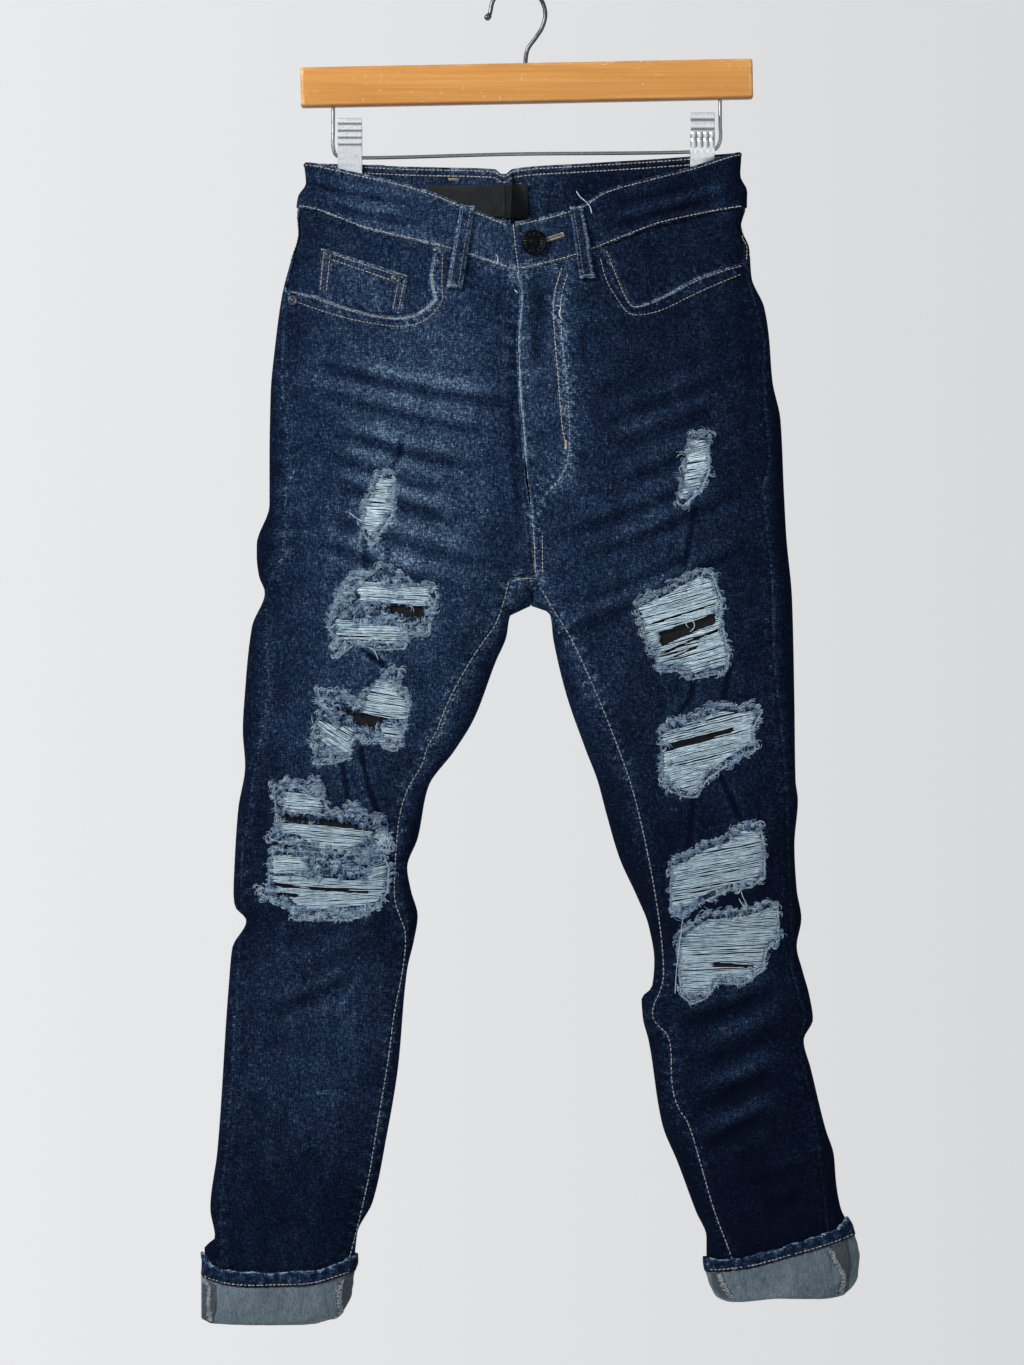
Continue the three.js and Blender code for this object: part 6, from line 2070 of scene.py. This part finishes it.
def stud(name, profile, x, z, out, material, around=64, notch=None):
    """A turned stud facing the front. Its profile is (radius, height), and notch lowers points of it."""
    radius, height = np.array(profile, float).T
    turn = np.arange(around) * 2 * math.pi / around
    r = np.repeat(radius[:, None], around, axis=1)
    h = np.repeat(height[:, None], around, axis=1)
    if notch:
        h = h - notch(r, turn[None, :])
    y = stood_on(x, z, out, radius.max()) - STUD_GAP - h
    points = np.stack([x + r * np.cos(turn), y, z + r * np.sin(turn)], axis=-1).reshape(-1, 3)
    faces = grid_faces(len(profile), around, closed=True).tolist()
    faces.append(list(range(around))[::-1])
    last = (len(profile) - 1) * around
    faces.append([last + k for k in range(around)])
    thing = make_mesh(name, points, faces, material)
    thing.data.set_sharp_from_angle(angle=math.radians(38))
    return thing


STUD_GAP = 0.3
BUTTON_X, BUTTON_Z, BUTTON_R = 14, -222, 11.0
BUTTON_PROFILE = [
    (4, 0), (4, 1.2), (10.4, 1.2), (10.9, 1.5), (BUTTON_R, 2.1), (10.9, 2.8), (10.5, 3.4), (10.0, 3.7),
    (9.5, 3.7), (9.1, 3.4), (8.4, 3.4), (7.6, 3.4), (6.9, 3.4), (6.6, 3.15), (5.6, 3.1), (4.4, 3.1),
    (3.2, 3.1), (2.9, 3.35), (2.4, 3.4), (0.6, 3.4)]


def button_notches(r, turn):
    """Short radial notches round the button's rim."""
    bars = smoothstep(np.cos(12 * turn), 0.72, 0.95) * smoothstep(r, 6.6, 7.2) * smoothstep(-r, -9.2, -8.7)
    return 0.55 * bars


RIVET_PROFILE = [
    (4.3, 0), (4.3, 0.5), (4.1, 0.8), (3.5, 1.1), (2.9, 1.2), (2.3, 1.05), (1.9, 0.9), (1.5, 1.1),
    (1.1, 1.5), (0.6, 1.75), (0.25, 1.8)]
RIVETS = {  # x, z and how far out of the panels' face each stands
    "rivet_coin_outer": (-163, -231.5, -0.1), "rivet_coin_inner": (-104, -253, -0.1),
    "rivet_pocket_right": (-193, -270, 0),
}
stud(
    "button_stud", BUTTON_PROFILE, BUTTON_X, BUTTON_Z, BAND_OUT, BUTTON_METAL, 240, button_notches)
button_face = stood_on(BUTTON_X, BUTTON_Z, BAND_OUT, BUTTON_R) - STUD_GAP - 3.45


def tick(along, up):
    """A raised tick on the button, through points given from its centre."""
    return np.stack([BUTTON_X + along, np.full(3, button_face), BUTTON_Z + up], axis=1)


TICK_REACH, LEVEL_REACH = np.array([6.6, 7.5, 8.6]), np.array([5.0, 7.0, 8.8])
ticks = [
    tick(TICK_REACH * math.cos(angle), TICK_REACH * math.sin(angle))
    for angle in np.radians(np.arange(0, 360, 30))]
ticks += [tick(LEVEL_REACH * side, np.full(3, height)) for side in (-1, 1) for height in (-1.3, 1.3)]
strands("button_ticks", [(np.array(ticks), 0.24)], RIVET_METAL, 6)
for name, (x, z, out) in RIVETS.items():
    stud(name + "_stud", RIVET_PROFILE, x, z, out, RIVET_METAL)


# ---- Hanger --------------------------------------------------------------------------------------
BAR_AT, BAR_SIZE, BAR_TILT = (8.0, 2.0, -81.5), (390.0, 13.0, 34.4), math.radians(1.12)
BAR_CORNER, BAR_END = 2.6, 2.4  # radii of the bar's long edges and of its ends
HOOK_R, HOOK_BEND_R = 1.85, 24.1
HOOK_BEND_Z = HOOK_R - HOOK_BEND_R
WIRE_R, WIRE_Y = 1.6, 2.4
CLIP_WIDTH, JAW_WALL, JAW_FOOT_Z = 21.0, 1.6, -165.0
CLIP_LIFT = (0.0, 5.0)  # the left clip holds the cloth higher up
EDGE_R = 0.35  # radius of a clip's edges
RIDGE = 0.9  # depth of the ridges on a finger plate
PLATE_TOP_Z, PLATE_FOOT_Z, PLATE_Y = -113, -137, -5.0


CORNER_STEPS = 5


def corner_ring(width, height, r):
    """A rounded rectangle as points round the origin."""
    points = []
    for cx, cz, start in ((1, 1, 0), (-1, 1, 90), (-1, -1, 180), (1, -1, 270)):
        for a in np.radians(np.linspace(start, start + 90, CORNER_STEPS)):
            points.append((cx * (width / 2 - r) + r * math.cos(a), cz * (height / 2 - r) + r * math.sin(a)))
    return np.array(points)


def wooden_bar():
    width, depth, height = BAR_SIZE
    ends = np.array([0.0, 0.15, 0.6, 1.3, BAR_END])
    between_ends = np.linspace(-width / 2 + 4, width / 2 - 4, 90)
    rings, worn = [], []
    for s in np.concatenate([-width / 2 + ends, between_ends, (width / 2 - ends)[::-1]]):
        gap = width / 2 - abs(s)
        inset = BAR_END * (1 - math.sqrt(max(0.0, 1 - (1 - min(gap / BAR_END, 1)) ** 2)))
        section = corner_ring(depth - 2 * inset * 0.8, height - 2 * inset * 0.8, BAR_CORNER)
        rings.append(np.stack([np.full(len(section), s), section[:, 0], section[:, 1]], axis=1))
        corner = (np.abs(section[:, 0]) > depth / 2 - 2.2) & (np.abs(section[:, 1]) > height / 2 - 2.2)
        worn.append(np.where(corner, 1.0, 0.0) + (gap < 2.6))
    points = np.concatenate(rings)
    around = len(rings[0])
    faces = grid_faces(len(rings), around, closed=True)[:, ::-1].tolist()
    faces += [list(range(around)), [(len(rings) - 1) * around + k for k in range(around)][::-1]]
    c, s = math.cos(BAR_TILT), math.sin(BAR_TILT)
    points = points @ np.array([[c, 0, s], [0, 1, 0], [-s, 0, c]]) + BAR_AT
    sides = np.array([f[:3] for f in faces[:-2]])
    turned = wound_out(points, sides, lambda p: np.array(BAR_AT) + (p - BAR_AT) * [1, 0, 0])
    if not np.array_equal(turned[0], sides[0]):
        faces = [f[::-1] for f in faces]
    # low marks the bar's bottom edges for painted shade
    below = -corner_ring(depth, height, BAR_CORNER)[:, 1]
    low = np.tile(smoothstep(below, height / 2 - 2.7, height / 2 - 1.2), len(rings))
    layers = {"worn": np.clip(np.concatenate(worn), 0, 1), "low": low}
    thing = make_mesh("hanger_bar_wood", points, faces, WOOD, layers=layers)
    thing.data.set_sharp_from_angle(angle=math.radians(50))
    return thing


wooden_bar()
bend = [
    (HOOK_BEND_R * math.cos(a), 0.0, HOOK_BEND_Z + HOOK_BEND_R * math.sin(a))
    for a in np.radians([-28, 0, 30, 60, 90, 120, 150, 180])]
HOOK_TIP = (-27.5, 0.0, HOOK_BEND_Z - 4.5)
HOOK_STEM = [(7, 2, -76), (7, 2, -62), (9, 1, -52), (16, 0, -42)]


def curve_through(points, step):
    """A smooth line through points in space."""
    p = np.asarray(points, float)
    share = np.concatenate([[0], np.cumsum(np.sqrt(np.linalg.norm(np.diff(p, axis=0), axis=1)))])
    slope = np.gradient(p, share, axis=0)
    marks = np.linspace(0, share[-1], 400)
    k = np.clip(np.searchsorted(share, marks) - 1, 0, len(p) - 2)
    h = (share[k + 1] - share[k])[:, None]
    t = ((marks - share[k]) / h[:, 0])[:, None]
    line = ((2 * t**3 - 3 * t**2 + 1) * p[k] + (t**3 - 2 * t**2 + t) * h * slope[k]
            + (3 * t**2 - 2 * t**3) * p[k + 1] + (t**3 - t**2) * h * slope[k + 1])
    along = travelled(line)
    goal = np.linspace(0, along[-1], max(8, int(along[-1] / step)))
    return np.stack([np.interp(goal, along, line[:, i]) for i in range(3)], axis=1)


hook_line = curve_through([*HOOK_STEM, *bend, HOOK_TIP], 1.2)
to_tip = np.linalg.norm(hook_line - hook_line[-1], axis=1)
hook_radius = np.where(to_tip < 6, HOOK_R + 1.0 * np.sqrt(np.clip(1 - ((to_tip - 3) / 3) ** 2, 0, 1)), HOOK_R)
hook_radius[-1] = 1.1
make_mesh("hook_wire", *tube_arrays(hook_line, hook_radius, 20), HOOK_CHROME)
FRAME_RUN = [
    (-159, -92), (-159, -120), (-159, -137), (-156.5, -143.4), (-150, -145), (0, -142.3), (163, -139.5),
    (171.5, -137.5), (175, -130.5), (175, -115), (175, -86)]
frame_line = curve_through([(x, WIRE_Y, z) for x, z in FRAME_RUN], 2.5)
make_mesh("frame_wire", *tube_arrays(frame_line, WIRE_R, 16), WIRE_CHROME)


def extruded(name, profile, x, width, material, flutes=None, ridged=None):
    """A bent strip: a side profile (y, z) carried across x, with softened edges."""
    p = np.asarray(profile, float)
    p = rounded_run(p, closed=True, share=0.2, times=1)
    after, before = np.roll(p, -1, axis=0), np.roll(p, 1, axis=0)
    way = unit(after - before)
    area = float((p[:, 0] * after[:, 1] - after[:, 0] * p[:, 1]).sum())
    inward = np.stack([-way[:, 1], way[:, 0]], axis=1) * (1 if area > 0 else -1)
    rings = []
    for gap in [0, 0.1, 0.35, *np.linspace(0.8, width - 0.8, 41), width - 0.35, width - 0.1, width]:
        edge = min(gap, width - gap)
        inset = EDGE_R * (1 - min(1.0, edge / EDGE_R)) ** 2
        spot = p + inward * inset
        ring = np.stack([np.full(len(p), x - width / 2 + gap), spot[:, 0], spot[:, 1]], axis=1)
        if flutes:
            ring[:, 1] += flutes(gap / width, ring[:, 1], ring[:, 2])
        rings.append(ring)
    count = len(p)
    points = np.concatenate(rings)
    faces = grid_faces(len(rings), count, closed=True).tolist()
    faces += [list(range(count))[::-1], [(len(rings) - 1) * count + k for k in range(count)]]
    if area > 0:
        faces = [f[::-1] for f in faces]
    # how deep in a groove or flute each point lies, for painted shade there
    groove = np.zeros(len(points))
    if ridged:
        high, low, face_y, depth = ridged
        plate = (points[:, 2] < high) & (points[:, 2] > low) & (points[:, 1] < face_y + 1.1 * depth)
        groove = np.where(plate, np.clip((points[:, 1] - face_y) / depth, 0, 1), 0.0)
    if flutes:
        raised_by = flutes((points[:, 0] - x) / width + 0.5, points[:, 1], points[:, 2])
        groove = np.maximum(groove, np.clip(raised_by / 0.55, 0, 1))
    thing = make_mesh(name, points, faces, material, layers={"groove": groove})
    thing.data.set_sharp_from_angle(angle=math.radians(35))
    return thing


def front_jaw(grip, ridges):
    """Finger plate with ridges, a bend towards the cloth, and the flat that grips it."""
    steps = np.linspace(0, 1, 4 * ridges * 2 + 1)
    plate = [(PLATE_Y - RIDGE * math.sin(2 * math.pi * ridges * s), -112.6 - 24 * s) for s in steps]
    return [
        (-3.4, -112), (-4.6, -112.1), *plate, (-4.4, -138.5), (-3.4, -142), (-2.2, -148),
        (grip - JAW_WALL, -153), (grip - JAW_WALL, -164), (grip - 0.8, -165), (grip, -164), (grip, -152),
        (0.2, -149.5), (-0.6, -147), (-1.4, -141), (-2.6, -136), (-2.6, -112)]


def fluted(s, y, z):
    """Upright flutes across the left clip's finger plate."""
    return np.where((y < -3) & (z < -124) & (z > -142), 0.55 * np.cos(2 * math.pi * 4 * s), 0.0)


for leg, hand in HANDS:
    x, lift = CLIP_X[leg], CLIP_LIFT[leg]
    heights = np.array([-150, -154, -158, JAW_FOOT_Z]) + lift
    at, foot = (g.ravel() for g in np.meshgrid(x + np.linspace(-0.5, 0.5, 5) * CLIP_WIDTH, heights))
    inside_y = float(face(at, foot, BAND_OUT - BAND_WALL, BACK)[:, 1].min()) - STUD_GAP
    outside_y = float(face(at, foot, BAND_OUT, BACK)[:, 1].max()) + STUD_GAP
    front_profile = front_jaw(inside_y, 4 if hand == "right" else 3)
    back_profile = [
        (outside_y, JAW_FOOT_Z), (outside_y + JAW_WALL, JAW_FOOT_Z + 1), (outside_y + JAW_WALL, -119),
        (outside_y + 0.8, -117), (outside_y, -118)]
    extruded(
        "clip_jaw_front_" + hand, [(y, z + lift) for y, z in front_profile], x, CLIP_WIDTH, CLIP_CHROME,
        flutes=fluted if hand == "left" else None,
        ridged=(PLATE_TOP_Z + lift, PLATE_FOOT_Z + lift, PLATE_Y, RIDGE))
    extruded(
        "clip_jaw_back_" + hand, [(y, z + lift) for y, z in back_profile], x, CLIP_WIDTH, CLIP_CHROME)


# ---- What each piece stands for ------------------------------------------------------------------
STANDS_FOR = {
    "band": ("waistband_front_right", "waistband_front_left", "waistband_back"),
    "coin": ("coin_pocket",), "label": ("label",), "button": ("button",),
    "bar": ("hanger_bar",), "hook": ("hanger_hook",), "wire": ("hanger_wire",),
}
# Starts of the names that pieces and the nodes they stand for share.
SAME_NAME = (
    "yoke_", "cuff_", "back_pocket_", "belt_loop_front_", "belt_loop_back_", "clip_front_", "clip_back_")
for _, hand in HANDS:
    STANDS_FOR |= {
        "front_" + hand: ("front_panel_" + hand,), "back_" + hand: ("back_panel_" + hand,),
        "facing_" + hand: ("pocket_facing_" + hand,), "hem_" + hand: ("cuff_hem_" + hand,),
        "backing_" + hand: ("rip_backing_" + hand,),
        "weft_" + hand: tuple("rip_threads_" + rip["name"] for rip in RIPS if rip["name"].endswith(hand)),
    }
    for key in SAME_NAME:
        STANDS_FOR[key + hand] = (key + hand,)
for name in ("belt_loop_back_centre", *RIVETS):
    STANDS_FOR[name] = (name,)
for key, nodes in STANDS_FOR.items():
    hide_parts(*nodes)

# ---- Stage, light and camera ---------------------------------------------------------------------
FLOOR_Z, FLOOR_REACH = -2.35, 6
floor_mesh = bpy.data.meshes.new("floor")
floor_corners = [(x * FLOOR_REACH, y * FLOOR_REACH, FLOOR_Z) for x, y in ((-1, -1), (1, -1), (1, 1), (-1, 1))]
floor_mesh.from_pydata(floor_corners, [], [(0, 1, 2, 3)])
floor = bpy.data.objects.new("floor", floor_mesh)
bpy.context.scene.collection.objects.link(floor)
pale = Look("pale_floor", roughness=0.9)
floor_mesh.materials.append(pale.done((0.92, 0.92, 0.93)))


SKY_LEFT_TO_RIGHT = ((0.815, 0.822, 0.835), (0.690, 0.692, 0.705))  # as the camera sees it; the darker right is painted shade
SKY_LIGHT, SKY_STRENGTH = (0.92, 0.96, 1.0), 0.36  # as it lights the jeans


def backdrop():
    """A pale studio: what the camera sees is a little darker to the right, as painted shade, and lights less
    than it shows.
    """
    world = bpy.data.worlds.new("studio")
    bpy.context.scene.world = world
    world.use_nodes = True
    nodes, links = world.node_tree.nodes, world.node_tree.links
    nodes.clear()
    window = nodes.new("ShaderNodeTexCoord")
    split = nodes.new("ShaderNodeSeparateXYZ")
    links.new(window.outputs["Window"], split.inputs[0])
    ramp = nodes.new("ShaderNodeValToRGB")
    for element, colour in zip(ramp.color_ramp.elements, SKY_LEFT_TO_RIGHT):
        element.color = (*colour, 1)
    links.new(split.outputs["X"], ramp.inputs["Fac"])
    seen, light = nodes.new("ShaderNodeBackground"), nodes.new("ShaderNodeBackground")
    mix = nodes.new("ShaderNodeMixShader")
    links.new(ramp.outputs["Color"], seen.inputs["Color"])
    light.inputs["Color"].default_value = (*SKY_LIGHT, 1)
    light.inputs["Strength"].default_value = SKY_STRENGTH
    path, out = nodes.new("ShaderNodeLightPath"), nodes.new("ShaderNodeOutputWorld")
    links.new(path.outputs["Is Camera Ray"], mix.inputs["Fac"])
    links.new(light.outputs[0], mix.inputs[1])
    links.new(seen.outputs[0], mix.inputs[2])
    links.new(mix.outputs[0], out.inputs["Surface"])


LIT_PLACE = Vector((0, 0, -0.6))  # what the lights face


def area_light(name, place, watts, size, colour=(1, 1, 1)):
    data = bpy.data.lights.new(name, "AREA")
    data.energy, data.size, data.color = watts, size, colour
    lamp = bpy.data.objects.new(name, data)
    bpy.context.scene.collection.objects.link(lamp)
    lamp.location = place
    lamp.rotation_euler = (LIT_PLACE - lamp.location).to_track_quat("-Z", "Y").to_euler()


backdrop()
area_light("key", (-2.1, -1.9, 1.0), 98, 0.9)
area_light("fill", (1.6, -3.0, -0.6), 14, 2.0, (0.93, 0.96, 1.0))
area_light("back_light", (0.6, 2.6, 0.6), 26, 3.0)

VIEW_X, VIEW_DISTANCE, VIEW_Z = -0.0047, 3.5, -0.5985
VIEW_LENS = 107
view = bpy.data.cameras.new("camera")
view.lens, view.clip_end = VIEW_LENS, 100
camera = bpy.data.objects.new("camera", view)
bpy.context.scene.collection.objects.link(camera)
camera.location = (VIEW_X, -VIEW_DISTANCE, VIEW_Z)
camera.rotation_euler = (math.pi / 2, 0, 0)
bpy.context.scene.camera = camera
bpy.context.scene.view_settings.view_transform = "Standard"
